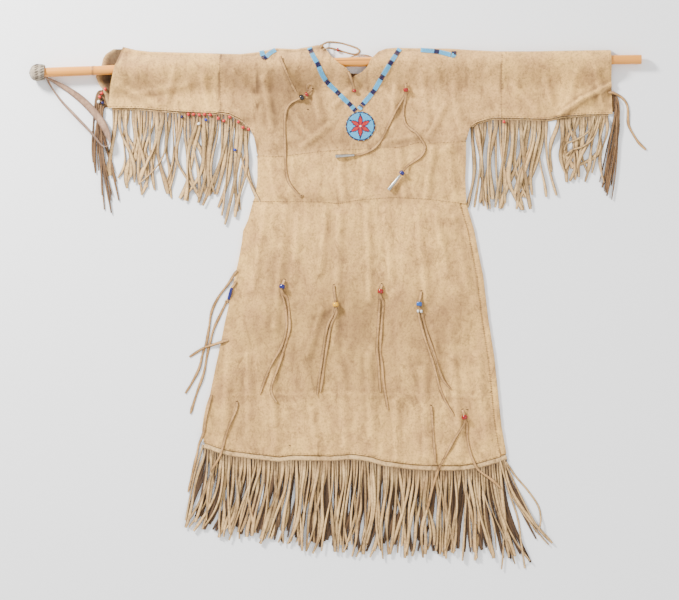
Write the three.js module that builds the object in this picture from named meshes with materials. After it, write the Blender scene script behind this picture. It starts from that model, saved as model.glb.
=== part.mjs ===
// A hide dress laid flat on a table, with a cane pole through its sleeves.
// Millimetres: +X to the right of someone who looks down at it, +Y towards the neck, +Z up off the table.
// The origin is on the table, under the middle of the back skirt.
import * as THREE from 'three';

// Hide and clearances
const HIDE = 2;
const GAP = 0.3;
const BACK_TOP = HIDE;
const FRONT_UNDER = BACK_TOP + GAP;
const FRONT_TOP = FRONT_UNDER + HIDE;
const FOLD_RUN = 5;
const FOLD_INSET = FOLD_RUN + GAP;

// Cane pole: its axis in plan, and its height, which falls from the end cap to the right cuff
const POLE_RADIUS = 10.5;
const POLE_SIDES = 14;
const POLE_STEPS = 12;
const POLE_LINE = [[-655, 499], [-542, 503], [-307, 512.5], [30, 522.5], [353, 525.5], [663, 528]];
const POLE_HEIGHT = [[-655, 18.9], [663, 12.6]];
const CAP_LENGTH = 35;
const CAP_RADIUS = 18.7;
const CAP_BORE = 11;
const CAP_BORE_DEPTH = 10;

// How the front drapes over the pole: level on top, then down to the back over these reaches
const DRAPE_LEVEL = 10;
const DRAPE_BELOW = 60;
const DRAPE_ABOVE = 45;
const DRAPE_SPARE = 0.8;

// Sleeve seams, and the welt down the right side of the skirt
const SEAM_LEFT = -262;
const SEAM_RIGHT = 356;
const WELT = 14;
const WELT_GAP = 0.5;

// Outline tables, each row x, y from left to right
const OVERARM_LEFT = [[-476, 557], [-448, 550], [-417, 546.5], [-219, 541], [-179, 545.5], [-138, 554],
  [-96, 552], [-47, 561], [-34, 557]];
const NECK_FRONT = [[-34, 557], [-16.5, 532], [1, 517], [16, 508], [22, 497], [28, 488], [49.5, 499],
  [60.5, 510], [68.5, 528], [85, 545], [102, 552], [126, 554]];
const OVERARM_RIGHT = [[126, 554], [177, 554], [245, 553], [287, 550], [346, 547], [419, 547], [595, 550]];
const NECK_BACK = [[-46, 555], [-24, 530], [-3, 512], [24, 498], [58, 498], [74, 512], [90, 532], [132, 549]];
const UNDERARM_LEFT = [[-509, 422], [-437, 422], [-395, 418], [-344, 414.5], [-276, 411], [-262, 414],
  [-243, 411], [-217, 398], [-197, 378], [-185, 350], [-181.5, 317]];
const UNDERARM_RIGHT = [[278, 348], [287, 381], [305, 392], [338, 401], [399, 400], [461, 398], [489, 404],
  [540, 408], [600, 409]];
const YOKE_SEAM = [[-181.5, 317], [-129, 315], [-96, 320], [-21, 328], [89, 334], [137, 337], [173, 346],
  [199, 345], [278, 348]];
const BAND_SEAM = [[-190, 217], [-43, 215.5], [-3, 212], [30, 218], [113, 225], [199, 221], [279, 211]];
const HEM = [[-298, -313], [-266, -324], [-241, -331], [-191, -337], [-133, -344], [-103, -340], [-21, -342],
  [27, -338], [64, -343], [98, -353], [153, -360], [195, -363], [265, -363], [307, -357], [350, -345],
  [367, -338]];

// Edge tables, each row y, x from the hem up
const LEFT_EDGE = [[-313, -298], [-286, -302.5], [-260, -299], [-233, -293.5], [-209, -285], [-145, -272],
  [-95, -261], [-53, -253], [-9, -243], [51, -230], [92, -221], [129, -214.5], [152, -212], [176, -201],
  [217, -190], [231, -184.5], [268, -180.5], [308, -180.5], [317, -181.5]];
const RIGHT_EDGE = [[-338, 367], [-277, 356], [-125, 340.5], [-44, 327.5], [53, 316], [101, 306], [154, 296],
  [211, 279], [264, 276.5], [306, 278], [348, 278]];
const CUFF_LEFT = [[422, -509], [471, -503], [514, -492], [532, -485], [557, -476]];
const CUFF_RIGHT = [[409, 600], [550, 595]];

// The back of the left cuff reaches past the front. Rows x, y
const CUFF_LEFT_BACK = [[-509, 422], [-520, 462], [-529, 475], [-535, 491], [-523, 515], [-520, 530],
  [-514, 541], [-500, 550], [-484, 548]];

// Largest folds in the front: from x, y to x, y, with height and half width
const FOLDS = [
  { from: [-133, 540], to: [-108, 470], height: 6, width: 18 },
  { from: [-8, 470], to: [10, 496], height: 3, width: 16 },
  { from: [209, 486], to: [221, 427], height: 4, width: 24 },
  { from: [-190, 372], to: [-145, 345], height: 4, width: 18 },
  { from: [275, 368], to: [235, 335], height: 4, width: 18 },
  { from: [490, 418], to: [575, 462], height: 6, width: 16 },
  { from: [-430, 490], to: [-330, 440], height: 3, width: 26 },
  { from: [400, 490], to: [450, 440], height: 3, width: 24 },
  { from: [-60, 300], to: [-50, 240], height: 3, width: 24 },
  { from: [-150, 190], to: [-180, -60], height: 4, width: 28 },
  { from: [-65, 150], to: [-78, -220], height: 3, width: 26 },
  { from: [30, 190], to: [35, -60], height: 3, width: 26 },
  { from: [140, 120], to: [150, -200], height: 4, width: 24 },
  { from: [225, 180], to: [262, -120], height: 3, width: 24 },
  { from: [-215, -60], to: [-232, -170], height: 3, width: 20 },
];

// Colours of the materials
const TAN = 0xdcc39b;
const YOKE_TAN = 0xc9b28c;
const DARK_TAN = 0xa78d68;
const CANE = 0xe0a878;

const group = new THREE.Group();

// Small helpers
const mix = (a, b, t) => a + (b - a) * t;
const clamp = (value) => Math.min(1, Math.max(0, value));

function lineAt(rows, at) {
  if (at <= rows[0][0]) return rows[0][1];
  for (let i = 1; i < rows.length; i += 1) {
    const [x0, y0] = rows[i - 1];
    const [x1, y1] = rows[i];
    if (at <= x1) return mix(y0, y1, (at - x0) / (x1 - x0));
  }
  return rows.at(-1)[1];
}

const between = (rows, from, to) => rows.filter(([at]) => at > from && at < to);
const shifted = (rows, dx, dy) => rows.map(([x, y]) => [x + dx, y + dy]);
const turned = (rows) => rows.map(([y, x]) => [x, y]);

function spread(from, to, steps) {
  return Array.from({ length: steps + 1 }, (_, i) => mix(from, to, i / steps));
}

function add(name, geometry, color, roughness = 0.9, metalness = 0) {
  const mesh = new THREE.Mesh(geometry, new THREE.MeshStandardMaterial({ color, roughness, metalness }));
  mesh.name = name;
  group.add(mesh);
  return mesh;
}

// A closed solid under construction: points, and faces as loops of point numbers
class Solid {
  constructor() {
    this.points = [];
    this.triangles = [];
  }

  point(x, y, z) {
    return this.points.push(x, y, z) / 3 - 1;
  }

  quad(a, b, c, d) {
    this.triangles.push(a, b, c, a, c, d);
  }

  geometry() {
    const made = new THREE.BufferGeometry();
    made.setAttribute('position', new THREE.Float32BufferAttribute(this.points, 3));
    made.setIndex(this.triangles);
    made.computeVertexNormals();
    return made;
  }
}

// The upper side of the front at x, y: level on the back, raised over the pole and along the folds
function frontHeight(x, y) {
  const away = y - lineAt(POLE_LINE, x);
  const rise = lineAt(POLE_HEIGHT, x) + POLE_RADIUS + GAP + DRAPE_SPARE + HIDE - FRONT_TOP;
  const reach = away < 0 ? DRAPE_BELOW : DRAPE_ABOVE;
  const fall = clamp((Math.abs(away) - DRAPE_LEVEL) / reach);
  const folds = FOLDS.reduce((sum, fold) => sum + foldHeight(fold, x, y), 0);
  return FRONT_TOP + rise * (1 - fall) ** 2 + folds;
}

function foldHeight({ from, to, height, width }, x, y) {
  const [dx, dy] = [to[0] - from[0], to[1] - from[1]];
  const along = clamp(((x - from[0]) * dx + (y - from[1]) * dy) / (dx * dx + dy * dy));
  const away = Math.hypot(x - from[0] - along * dx, y - from[1] - along * dy);
  return height * Math.exp(-((away / width) ** 2));
}

// 1 where the front rounds down to the table over the arms, and 0 along the open neck
const foldShare = (x) => lineAt([[-70, 1], [-36, 0], [128, 0], [160, 1]], x);

// Rows of a panel over the pole, from its lower edge to the fold. Shares of its height at one column
const FOLD_ANGLES = [0, Math.PI / 4, Math.PI / 2];

function poleRows(x, foot, head) {
  const axis = lineAt(POLE_LINE, x);
  const levels = [foot, mix(foot, axis - 62, 0.5), axis - 62, axis - 38, axis - 22, axis - 10, axis + 10];
  const rounded = FOLD_ANGLES.map((angle) => head - FOLD_RUN * (1 - Math.sin(angle)));
  const held = levels.map((level, row) => Math.min(level, head - FOLD_RUN - 2 * (levels.length - row)));
  return [...held, ...rounded].map((level) => (level - foot) / (head - foot));
}

function roundedHeight(x, y, head, row, rows) {
  const angle = FOLD_ANGLES[row - rows + FOLD_ANGLES.length];
  if (angle === undefined) return frontHeight(x, y);
  const rounded = frontHeight(x, head - FOLD_RUN) * Math.cos(angle);
  return mix(frontHeight(x, y), rounded, foldShare(x));
}

// A front panel between a lower and an upper edge, cut into columns and rows, HIDE thick square to itself
function frontPanel(name, spec, color) {
  const { foot, head, left, right, footX, headX, shares, rowsAt } = spec;
  const grid = shares.map((share) => {
    const x0 = mix(footX[0], footX[1], share);
    const x1 = mix(headX[0], headX[1], share);
    const y0 = foot(x0);
    const y1 = head(x1);
    const rows = rowsAt((x0 + x1) / 2, y0, y1);
    return rows.map((v, row) => {
      const bowLeft = left(mix(foot(footX[0]), head(headX[0]), v)) - mix(footX[0], headX[0], v);
      const bowRight = right(mix(foot(footX[1]), head(headX[1]), v)) - mix(footX[1], headX[1], v);
      const x = mix(x0, x1, v) + mix(bowLeft, bowRight, share);
      const y = mix(y0, y1, v);
      const z = spec.rounded ? roundedHeight(x, y, y1, row, rows.length) : frontHeight(x, y);
      return new THREE.Vector3(x, y, z);
    });
  });
  return add(name, wallGeometry(grid), color);
}

function wallGeometry(grid) {
  const solid = new Solid();
  const last = [grid.length - 1, grid[0].length - 1];
  const step = (i, k) => grid[Math.min(last[0], Math.max(0, i))][Math.min(last[1], Math.max(0, k))];
  const outer = [];
  const inner = [];
  grid.forEach((column, i) => {
    outer.push(column.map((p) => solid.point(p.x, p.y, p.z)));
    inner.push(column.map((p, k) => {
      const across = step(i + 1, k).clone().sub(step(i - 1, k));
      const up = step(i, k + 1).clone().sub(step(i, k - 1));
      const inside = p.clone().addScaledVector(across.cross(up).normalize(), -HIDE);
      return solid.point(inside.x, inside.y, Math.max(0, inside.z));
    }));
  });
  const edge = [];
  for (let i = 0; i < last[0]; i += 1) {
    for (let k = 0; k < last[1]; k += 1) {
      solid.quad(outer[i][k], outer[i + 1][k], outer[i + 1][k + 1], outer[i][k + 1]);
      solid.quad(inner[i][k], inner[i][k + 1], inner[i + 1][k + 1], inner[i + 1][k]);
    }
  }
  for (let i = 0; i < last[0]; i += 1) edge.push([i, 0]);
  for (let k = 0; k < last[1]; k += 1) edge.push([last[0], k]);
  for (let i = last[0]; i > 0; i -= 1) edge.push([i, last[1]]);
  for (let k = last[1]; k > 0; k -= 1) edge.push([0, k]);
  edge.forEach(([i, k], n) => {
    const [j, m] = edge[(n + 1) % edge.length];
    solid.quad(inner[i][k], inner[j][m], outer[j][m], outer[i][k]);
  });
  return solid.geometry();
}

// A flat piece cut from hide by its outline, lying between two levels
function flatPiece(name, outline, under, thickness, color) {
  const shape = new THREE.Shape(outline.map(([x, y]) => new THREE.Vector2(x, y)));
  const geometry = new THREE.ExtrudeGeometry(shape, { depth: thickness, bevelEnabled: false });
  geometry.translate(0, 0, under);
  return add(name, geometry, color);
}

const evenRows = (steps) => () => spread(0, 1, steps);
const columnsOf = (stops) => stops.map((x) => (x - stops[0]) / (stops.at(-1) - stops[0]));

// Yoke, cut in one with the upper sleeves
const yokeFootLine = [...between(UNDERARM_LEFT, SEAM_LEFT, -181.5), ...shifted(YOKE_SEAM, 0, GAP / 2),
  ...between(UNDERARM_RIGHT, 278, SEAM_RIGHT)];
const yokeHeadLine = [...OVERARM_LEFT, ...NECK_FRONT.slice(1), ...OVERARM_RIGHT.slice(1)];
const yokeEnds = [SEAM_LEFT + GAP / 2, SEAM_RIGHT - GAP / 2];
const SEAM_COLUMNS = [-181.5, -155, -129, -96, -60, -34, -16.5, 1, 16, 28, 49.5, 60.5, 65, 70, 77, 85,
  95, 105, 126, 150, 173, 199, 230, 264, 278];
const YOKE_COLUMNS = [yokeEnds[0], -240, -217, -197, -187, ...SEAM_COLUMNS, 282, 287, 305, 330, yokeEnds[1]];
const yokeFoot = [[yokeEnds[0], 413.8], ...yokeFootLine, [yokeEnds[1], 401]];

const yokeFront = frontPanel('yoke_front', {
  foot: (x) => lineAt(yokeFoot, x),
  head: (x) => lineAt(yokeHeadLine, x),
  left: () => yokeEnds[0],
  right: () => yokeEnds[1],
  footX: yokeEnds,
  headX: yokeEnds,
  shares: columnsOf(YOKE_COLUMNS),
  rowsAt: poleRows,
  rounded: true,
}, YOKE_TAN);

const overarmBack = (from, to, rows) => shifted(
  [[from, lineAt(rows, from)], ...between(rows, from, to), [to, lineAt(rows, to)]], 0, -FOLD_INSET);

flatPiece('yoke_back', [
  ...yokeFoot,
  ...overarmBack(132, yokeEnds[1], OVERARM_RIGHT).reverse(),
  ...NECK_BACK.slice(1, -1).reverse(),
  ...overarmBack(yokeEnds[0], -46, OVERARM_LEFT).reverse(),
], 0, HIDE, DARK_TAN);

// Sleeve ends
const leftSleeve = [SEAM_LEFT - GAP / 2, SEAM_RIGHT + GAP / 2];
frontPanel('sleeve_left_front', {
  foot: (x) => lineAt(UNDERARM_LEFT, x),
  head: (x) => lineAt(OVERARM_LEFT, x),
  left: (y) => lineAt(CUFF_LEFT, y),
  right: () => leftSleeve[0],
  footX: [-509, leftSleeve[0]],
  headX: [-476, leftSleeve[0]],
  shares: spread(0, 1, 8),
  rowsAt: poleRows,
  rounded: true,
}, TAN);

frontPanel('sleeve_right_front', {
  foot: (x) => lineAt(UNDERARM_RIGHT, x),
  head: (x) => lineAt(OVERARM_RIGHT, x),
  left: () => leftSleeve[1],
  right: (y) => lineAt(CUFF_RIGHT, y),
  footX: [leftSleeve[1], 600],
  headX: [leftSleeve[1], 595],
  shares: spread(0, 1, 10),
  rowsAt: poleRows,
  rounded: true,
}, TAN);

flatPiece('sleeve_left_back', [
  ...overarmBack(-476, leftSleeve[0], OVERARM_LEFT).reverse(),
  ...[...CUFF_LEFT_BACK].reverse(),
  ...between(UNDERARM_LEFT, -509, leftSleeve[0]),
  [leftSleeve[0], 413.8],
], 0, HIDE, DARK_TAN);

flatPiece('sleeve_right_back', [
  [leftSleeve[1], 401],
  ...between(UNDERARM_RIGHT, leftSleeve[1], 600),
  [600, 409],
  ...overarmBack(leftSleeve[1], 595, OVERARM_RIGHT).reverse(),
], 0, HIDE, DARK_TAN);

// Chest band
const bandTop = shifted(YOKE_SEAM, 0, -GAP / 2);
const bandFoot = shifted(BAND_SEAM, 0, GAP / 2);
const BAND_FEET = [-190, 279];
frontPanel('band_front', {
  foot: (x) => lineAt(bandFoot, x),
  head: (x) => lineAt(bandTop, x),
  left: (y) => lineAt(LEFT_EDGE, y),
  right: (y) => lineAt(RIGHT_EDGE, y),
  footX: BAND_FEET,
  headX: [-181.5, 278],
  shares: columnsOf(SEAM_COLUMNS),
  rowsAt: evenRows(3),
}, TAN);

flatPiece('band_back', [
  ...bandFoot,
  ...turned(between(RIGHT_EDGE, 211, 348)),
  ...[...bandTop].reverse(),
  ...turned(between(LEFT_EDGE, 217, 317)).reverse(),
], 0, HIDE, TAN);

// Skirt, with the welt that turns over its right edge
const skirtTop = shifted(BAND_SEAM, 0, -GAP / 2);
const weltInner = shifted(RIGHT_EDGE, 0, -WELT);
const skirtEnd = BAND_FEET[1] - WELT - WELT_GAP;
const skirtStops = columnsOf(SEAM_COLUMNS).map((share) => mix(...BAND_FEET, share)).filter((x) => x < skirtEnd - 1);
const skirtShares = columnsOf([...skirtStops, skirtEnd]);
const SKIRT_FEET = [-298, 367 - WELT - WELT_GAP];
const hemLine = skirtShares.map((share) => mix(...SKIRT_FEET, share)).map((x) => [x, lineAt(HEM, x)]);
hemLine.push(HEM.at(-1));
const SKIRT_ROWS = RIGHT_EDGE.map(([y]) => y).filter((y) => y > -338 && y < 211);

function skirtRows() {
  const foot = lineAt(HEM, SKIRT_FEET[1]);
  const head = lineAt(skirtTop, skirtEnd);
  return [foot, ...SKIRT_ROWS, head].map((y) => (y - foot) / (head - foot));
}

frontPanel('skirt_front', {
  foot: (x) => lineAt(HEM, x),
  head: (x) => lineAt(skirtTop, x),
  left: (y) => lineAt(LEFT_EDGE, y),
  right: (y) => lineAt(weltInner, y) - WELT_GAP,
  footX: SKIRT_FEET,
  headX: [BAND_FEET[0], skirtEnd],
  shares: skirtShares,
  rowsAt: skirtRows,
}, TAN);

flatPiece('skirt_back', [
  ...hemLine,
  ...turned(between(RIGHT_EDGE, -338, 211)),
  ...[...skirtTop].reverse(),
  ...turned(between(LEFT_EDGE, -313, 217)).reverse(),
], 0, HIDE, TAN);

const weltOuter = [[-338, 367], ...between(RIGHT_EDGE, -338, 211), [210, 279.3]];
flatPiece('side_welt_right', [
  ...turned(weltOuter),
  ...turned(shifted(weltOuter, 0, -WELT)).reverse(),
], FRONT_UNDER, HIDE, TAN);

// A fringe: a narrow backing strip along a line, and strands that leave its far edge.
// Tips are rows of share along the line, x, y. Every other strand rises over its neighbours.
const STRIP = 10;

function fringe(name, spec, color) {
  const { line, out, under, count, width, skip } = spec;
  const lengths = line.map((p, i) => (i ? Math.hypot(p[0] - line[i - 1][0], p[1] - line[i - 1][1]) : 0));
  const total = lengths.reduce((sum, length) => sum + length, 0);
  const along = lengths.map((sum => (length) => (sum += length) / total)(0));
  const at = (share) => [0, 1].map((k) => lineAt(line.map((p, i) => [along[i], p[k]]), share));
  const half = width / 2 / total;
  const shares = spread(half * 2, 1 - half * 2, count - 1).filter((s) => !skip || s < skip[0] || s > skip[1]);
  const solid = new Solid();
  const station = (share) => {
    const [x, y] = at(share);
    const near = [x + out[0] * GAP * 1.5, y + out[1] * GAP * 1.5];
    const far = [near[0] + out[0] * STRIP, near[1] + out[1] * STRIP];
    return [near, far].flatMap((p) => [under, under + HIDE].map((z) => solid.point(p[0], p[1], z)));
  };
  const kinks = along.filter((s) => !shares.some((share) => Math.abs(share - s) < half * 1.4));
  const cuts = [...kinks, ...shares.flatMap((s) => [s - half, s + half])].sort((a, b) => a - b);
  const stations = cuts.map(station);
  stations.slice(1).forEach((next, i) => {
    const here = stations[i];
    solid.quad(here[1], here[3], next[3], next[1]);
    solid.quad(here[0], next[0], next[2], here[2]);
    solid.quad(here[0], here[1], next[1], next[0]);
    const root = shares.findIndex((share) => share > cuts[i] && share < cuts[i + 1]);
    if (root < 0) solid.quad(here[2], next[2], next[3], here[3]);
    else strand(solid, [here[2], next[2], next[3], here[3]], root, shares[root], spec, at);
  });
  const end = stations.at(-1);
  solid.quad(stations[0][0], stations[0][2], stations[0][3], stations[0][1]);
  solid.quad(end[0], end[1], end[3], end[2]);
  return add(name, solid.geometry(), color);
}

function strand(solid, root, index, share, { out, under, width, tips, lift, steps }, at) {
  const [x, y] = at(share);
  const start = new THREE.Vector2(x, y).addScaledVector(new THREE.Vector2(...out), GAP * 1.5 + STRIP);
  const tip = new THREE.Vector2(...[1, 2].map((k) => lineAt(tips.map((row) => [row[0], row[k]]), share)));
  const uneven = 1 + 0.05 * Math.sin(index * 2.4) + 0.03 * Math.sin(index * 5.1);
  tip.sub(start).multiplyScalar(uneven).add(start);
  const bend = start.clone().addScaledVector(new THREE.Vector2(...out), start.distanceTo(tip) * 0.3);
  const path = new THREE.QuadraticBezierCurve(start, bend, tip);
  let ring = root;
  for (let step = 1; step <= steps; step += 1) {
    const s = step / steps;
    const c = path.getPoint(s);
    const forward = path.getTangent(s);
    const side = new THREE.Vector2(-forward.y, forward.x).multiplyScalar(mix(width, width * 0.6, s) / 2);
    const low = under + (index % 2 ? lift : 0) + 0.4 * s;
    const high = low + mix(HIDE, HIDE * 0.7, s);
    const sway = side.clone().multiplyScalar(0.5 * Math.sin(index * 0.7 + 3 * s));
    const a = c.clone().add(sway).sub(side);
    const b = c.clone().add(sway).add(side);
    const next = [
      solid.point(a.x, a.y, low),
      solid.point(b.x, b.y, low),
      solid.point(b.x, b.y, high),
      solid.point(a.x, a.y, high),
    ];
    ring.forEach((corner, k) => {
      const other = (k + 1) % 4;
      solid.quad(corner, ring[other], next[other], next[k]);
    });
    ring = next;
  }
  solid.quad(...ring);
}

// Hem fringe: the upper layer lies on the under one. Tips: share, x, y
const HEM_TIPS = [[0, -342, -505], [0.08, -290, -518], [0.15, -245, -520], [0.22, -200, -528], [0.33, -135, -550],
  [0.4, -90, -546], [0.5, -25, -560], [0.6, 40, -568], [0.7, 110, -562], [0.8, 190, -574], [0.87, 255, -570],
  [0.92, 320, -575], [0.96, 385, -596], [0.98, 425, -590], [1, 455, -545]];
fringe('hem_fringe_front', {
  line: hemLine, out: [0, -1], under: FRONT_UNDER, count: 62, width: 5.5, tips: HEM_TIPS, lift: 2.4, steps: 2,
}, TAN);
fringe('hem_fringe_back', {
  line: hemLine, out: [0, -1], under: 0, count: 32, width: 6.5, lift: 0, steps: 2,
  tips: HEM_TIPS.map(([share, x, y]) => [share, x * 0.97, y + 16]),
}, DARK_TAN);

// Sleeve fringes, sewn in under the arm
fringe('sleeve_fringe_left', {
  line: [[-500, 422], ...between(UNDERARM_LEFT, -500, -190)],
  out: [0, -1], under: 0, count: 28, width: 5.5, lift: 2.4, steps: 2,
  tips: [[0, -494, 262], [0.12, -463, 249], [0.25, -428, 233], [0.4, -380, 233], [0.55, -329, 213],
    [0.65, -300, 207], [0.8, -262, 207], [0.92, -236, 170], [1, -216, 190]],
}, TAN);
fringe('sleeve_fringe_right', {
  line: [[290, 383], ...between(UNDERARM_RIGHT, 290, 592), [592, 409]],
  out: [0, -1], under: 0, count: 29, width: 5.5, lift: 2.4, steps: 2, skip: [0.555, 0.625],
  tips: [[0, 294, 200], [0.17, 338, 204], [0.3, 368, 200], [0.4, 392, 203], [0.5, 422, 220], [0.55, 437, 228],
    [0.63, 470, 268], [0.7, 494, 280], [0.8, 516, 263], [0.9, 536, 266], [1, 552, 258]],
}, TAN);

// Cuff fringes, darker and finer
fringe('cuff_fringe_left', {
  line: [[-520.5, 462], [-509.5, 424]],
  out: [-1, 0], under: 0, count: 8, width: 3.2, lift: 2.4, steps: 2,
  tips: [[0, -549, 285], [0.4, -532, 262], [0.7, -519, 215], [1, -508, 240]],
}, DARK_TAN);
fringe('cuff_fringe_right', {
  line: [[600.1, 414], [598.5, 452]],
  out: [1, 0], under: 0, count: 8, width: 3.2, lift: 2.4, steps: 2,
  tips: [[0, 576, 250], [0.5, 588, 235], [1, 600, 222]],
}, DARK_TAN);

// Beadwork and thongs lie on what is below them: its height is felt with a ray from above, and 0 is the table
const LANE_WIDTH = 10.4;
const LANE_THICK = 2;
const LANE_BLUE = 0x87cde6;
const LANE_STEP = 6;
const LANE_FEEL = 4.5;
const LANE_GAP = 0.8;
const FEEL_FROM = 100;
const down = new THREE.Vector3(0, 0, -1);
const ray = new THREE.Raycaster();

function ground(x, y, reach) {
  const heights = [-reach, 0, reach].flatMap((dx) => [-reach, 0, reach].map((dy) => {
    ray.set(new THREE.Vector3(x + dx, y + dy, FEEL_FROM), down);
    const [hit] = ray.intersectObjects(group.children, false);
    return hit ? hit.point.z : 0;
  }));
  return Math.max(...heights);
}

function lane(name, rows, color) {
  group.updateMatrixWorld(true);
  const route = new THREE.CatmullRomCurve3(rows.map(([x, y]) => new THREE.Vector3(x, y, 0)), false, 'centripetal');
  const steps = Math.ceil(route.getLength() / LANE_STEP);
  const solid = new Solid();
  const rings = spread(0, 1, steps).map((t) => {
    const centre = route.getPointAt(t);
    const forward = route.getTangentAt(t);
    const [a, b] = [-0.5, 0.5].map((k) => {
      const x = centre.x - forward.y * LANE_WIDTH * k;
      const y = centre.y + forward.x * LANE_WIDTH * k;
      const under = ground(x, y, LANE_FEEL) + LANE_GAP;
      return [solid.point(x, y, under), solid.point(x, y, under + LANE_THICK)];
    });
    return [a[0], b[0], b[1], a[1]];
  });
  rings.slice(1).forEach((next, i) => next.forEach((corner, k) => {
    const other = (k + 1) % 4;
    solid.quad(rings[i][k], rings[i][other], next[other], corner);
  }));
  solid.quad(...[...rings[0]].reverse());
  solid.quad(...rings.at(-1));
  return add(name, solid.geometry(), color, 0.35);
}

lane('neck_lane_left', [[-64, 549], [-57, 533], [-47, 515.5], [-39.5, 497], [-27.5, 478.5], [-3, 454.5],
  [8, 443.5], [22, 430.5], [35, 416]], LANE_BLUE);
lane('neck_lane_right', [[129, 547], [112, 519], [93, 488.5], [74, 457.5], [48, 427]], LANE_BLUE);
lane('shoulder_lane_left', [[-164, 531], [-142, 545]], LANE_BLUE);
lane('shoulder_lane_right', [[181, 545], [213, 543], [242, 535]], LANE_BLUE);

const ROSETTE = { x: 46, y: 382, radius: 33.5, thick: 2.2 };
const rosetteShape = new THREE.Shape().absarc(0, 0, ROSETTE.radius, 0, Math.PI * 2);
const rosetteGeometry = new THREE.ExtrudeGeometry(rosetteShape, {
  depth: ROSETTE.thick, bevelEnabled: false, curveSegments: 28,
});
rosetteGeometry.translate(ROSETTE.x, ROSETTE.y, FRONT_TOP + GAP);
add('rosette', rosetteGeometry, LANE_BLUE, 0.35);

// Heights for evenly spaced stations, so that the straight runs between them clear a finer profile of floors
function clearedHeights(floors, perStep) {
  const heights = floors.filter((_, i) => i % perStep === 0);
  for (let pass = 0; pass < 4; pass += 1) {
    floors.forEach((floor, i) => {
      const a = Math.min(Math.floor(i / perStep), heights.length - 2);
      const t = i / perStep - a;
      const short = floor - mix(heights[a], heights[a + 1], t);
      const share = short / (t * t + (1 - t) * (1 - t));
      heights[a] += Math.max(0, share * (1 - t));
      heights[a + 1] += Math.max(0, share * t);
    });
  }
  return heights;
}

// A flat thong laid along rows of x, y and how far it is lifted off what is below
const THONG_SIDES = 8;
const THONG_STRIDE = 3;
const FINE = 6;
const LAID_GAP = 0.4;
const routes = {};

function lay(name, rows, width, thickness, color) {
  group.updateMatrixWorld(true);
  const plan = new THREE.CatmullRomCurve3(rows.map(([x, y]) => new THREE.Vector3(x, y, 0)), false, 'centripetal');
  const steps = Math.max(4, Math.round(plan.getLength() / (THONG_STRIDE * width)));
  const marks = rows.map(([x, y, lift = 0]) => [nearestShare(plan, x, y), lift]);
  const floors = spread(0, 1, steps * FINE).map((t) => {
    const { x, y } = plan.getPointAt(t);
    return ground(x, y, width / 2 + 0.1) + LAID_GAP + thickness / 2;
  });
  const heights = clearedHeights(floors, FINE);
  const route = new THREE.CatmullRomCurve3(heights.map((z, i) => {
    const { x, y } = plan.getPointAt(i / steps);
    return new THREE.Vector3(x, y, z + lineAt(marks, i / steps));
  }), false, 'centripetal');
  routes[name] = route;
  return sweep(name, route, steps, width, thickness, color);
}

function nearestShare(curve, x, y) {
  const away = ([share]) => {
    const p = curve.getPointAt(share);
    return Math.hypot(p.x - x, p.y - y);
  };
  return spread(0, 1, 400).map((share) => [share]).reduce((a, b) => (away(b) < away(a) ? b : a))[0];
}

function sweep(name, route, steps, width, thickness, color) {
  const lies = Math.abs(route.computeFrenetFrames(steps).normals[0].z) > 0.5;
  const [across, up] = lies ? [thickness, width] : [width, thickness];
  const section = new THREE.Shape(spread(0, THONG_SIDES - 1, THONG_SIDES - 1).map((k) => {
    const angle = ((k + 0.5) / THONG_SIDES) * Math.PI * 2;
    return new THREE.Vector2((Math.cos(angle) * across) / 2, (Math.sin(angle) * up) / 2);
  }));
  return add(name, new THREE.ExtrudeGeometry(section, { steps, extrudePath: route, bevelEnabled: false }), color);
}

// Cane pole, its leather end cap and the wrist strap
const poleRoute = new THREE.CatmullRomCurve3(
  POLE_LINE.map(([x, y]) => new THREE.Vector3(x, y, lineAt(POLE_HEIGHT, x))), false, 'centripetal');
const poleSection = new THREE.Shape(spread(0, POLE_SIDES - 1, POLE_SIDES - 1).map((k) => {
  const angle = (k / POLE_SIDES) * Math.PI * 2;
  return new THREE.Vector2(Math.cos(angle) * POLE_RADIUS, Math.sin(angle) * POLE_RADIUS);
}));
add('pole', new THREE.ExtrudeGeometry(poleSection, {
  steps: POLE_STEPS, extrudePath: poleRoute, bevelEnabled: false,
}), CANE, 0.45);

function turnedPiece(name, profile, segments, from, towards, color, roughness = 0.4, metalness = 0) {
  const geometry = new THREE.LatheGeometry(profile.map(([r, along]) => new THREE.Vector2(r, along)), segments);
  const mesh = add(name, geometry, color, roughness, metalness);
  mesh.position.set(...from);
  const axis = new THREE.Vector3(...towards).sub(mesh.position).normalize();
  mesh.quaternion.setFromUnitVectors(new THREE.Vector3(0, 1, 0), axis);
  return mesh;
}

const CAP_FACE = -646;
const CAP_FLOOR = CAP_LENGTH - CAP_BORE_DEPTH;
const capAxis = [CAP_FACE - CAP_LENGTH, CAP_FACE].map((x) => [x, 499 + (x + 655) * 0.035, 18.95]);
turnedPiece('pole_cap', [[0, 0], [9, 0.8], [15, 4], [18, 9], [CAP_RADIUS, 18], [18.2, 28], [16.5, CAP_LENGTH],
  [CAP_BORE, CAP_LENGTH], [CAP_BORE, CAP_FLOOR], [0, CAP_FLOOR]],
  16, capAxis[0], capAxis[1], 0xa39a8c, 0.85);

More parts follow.
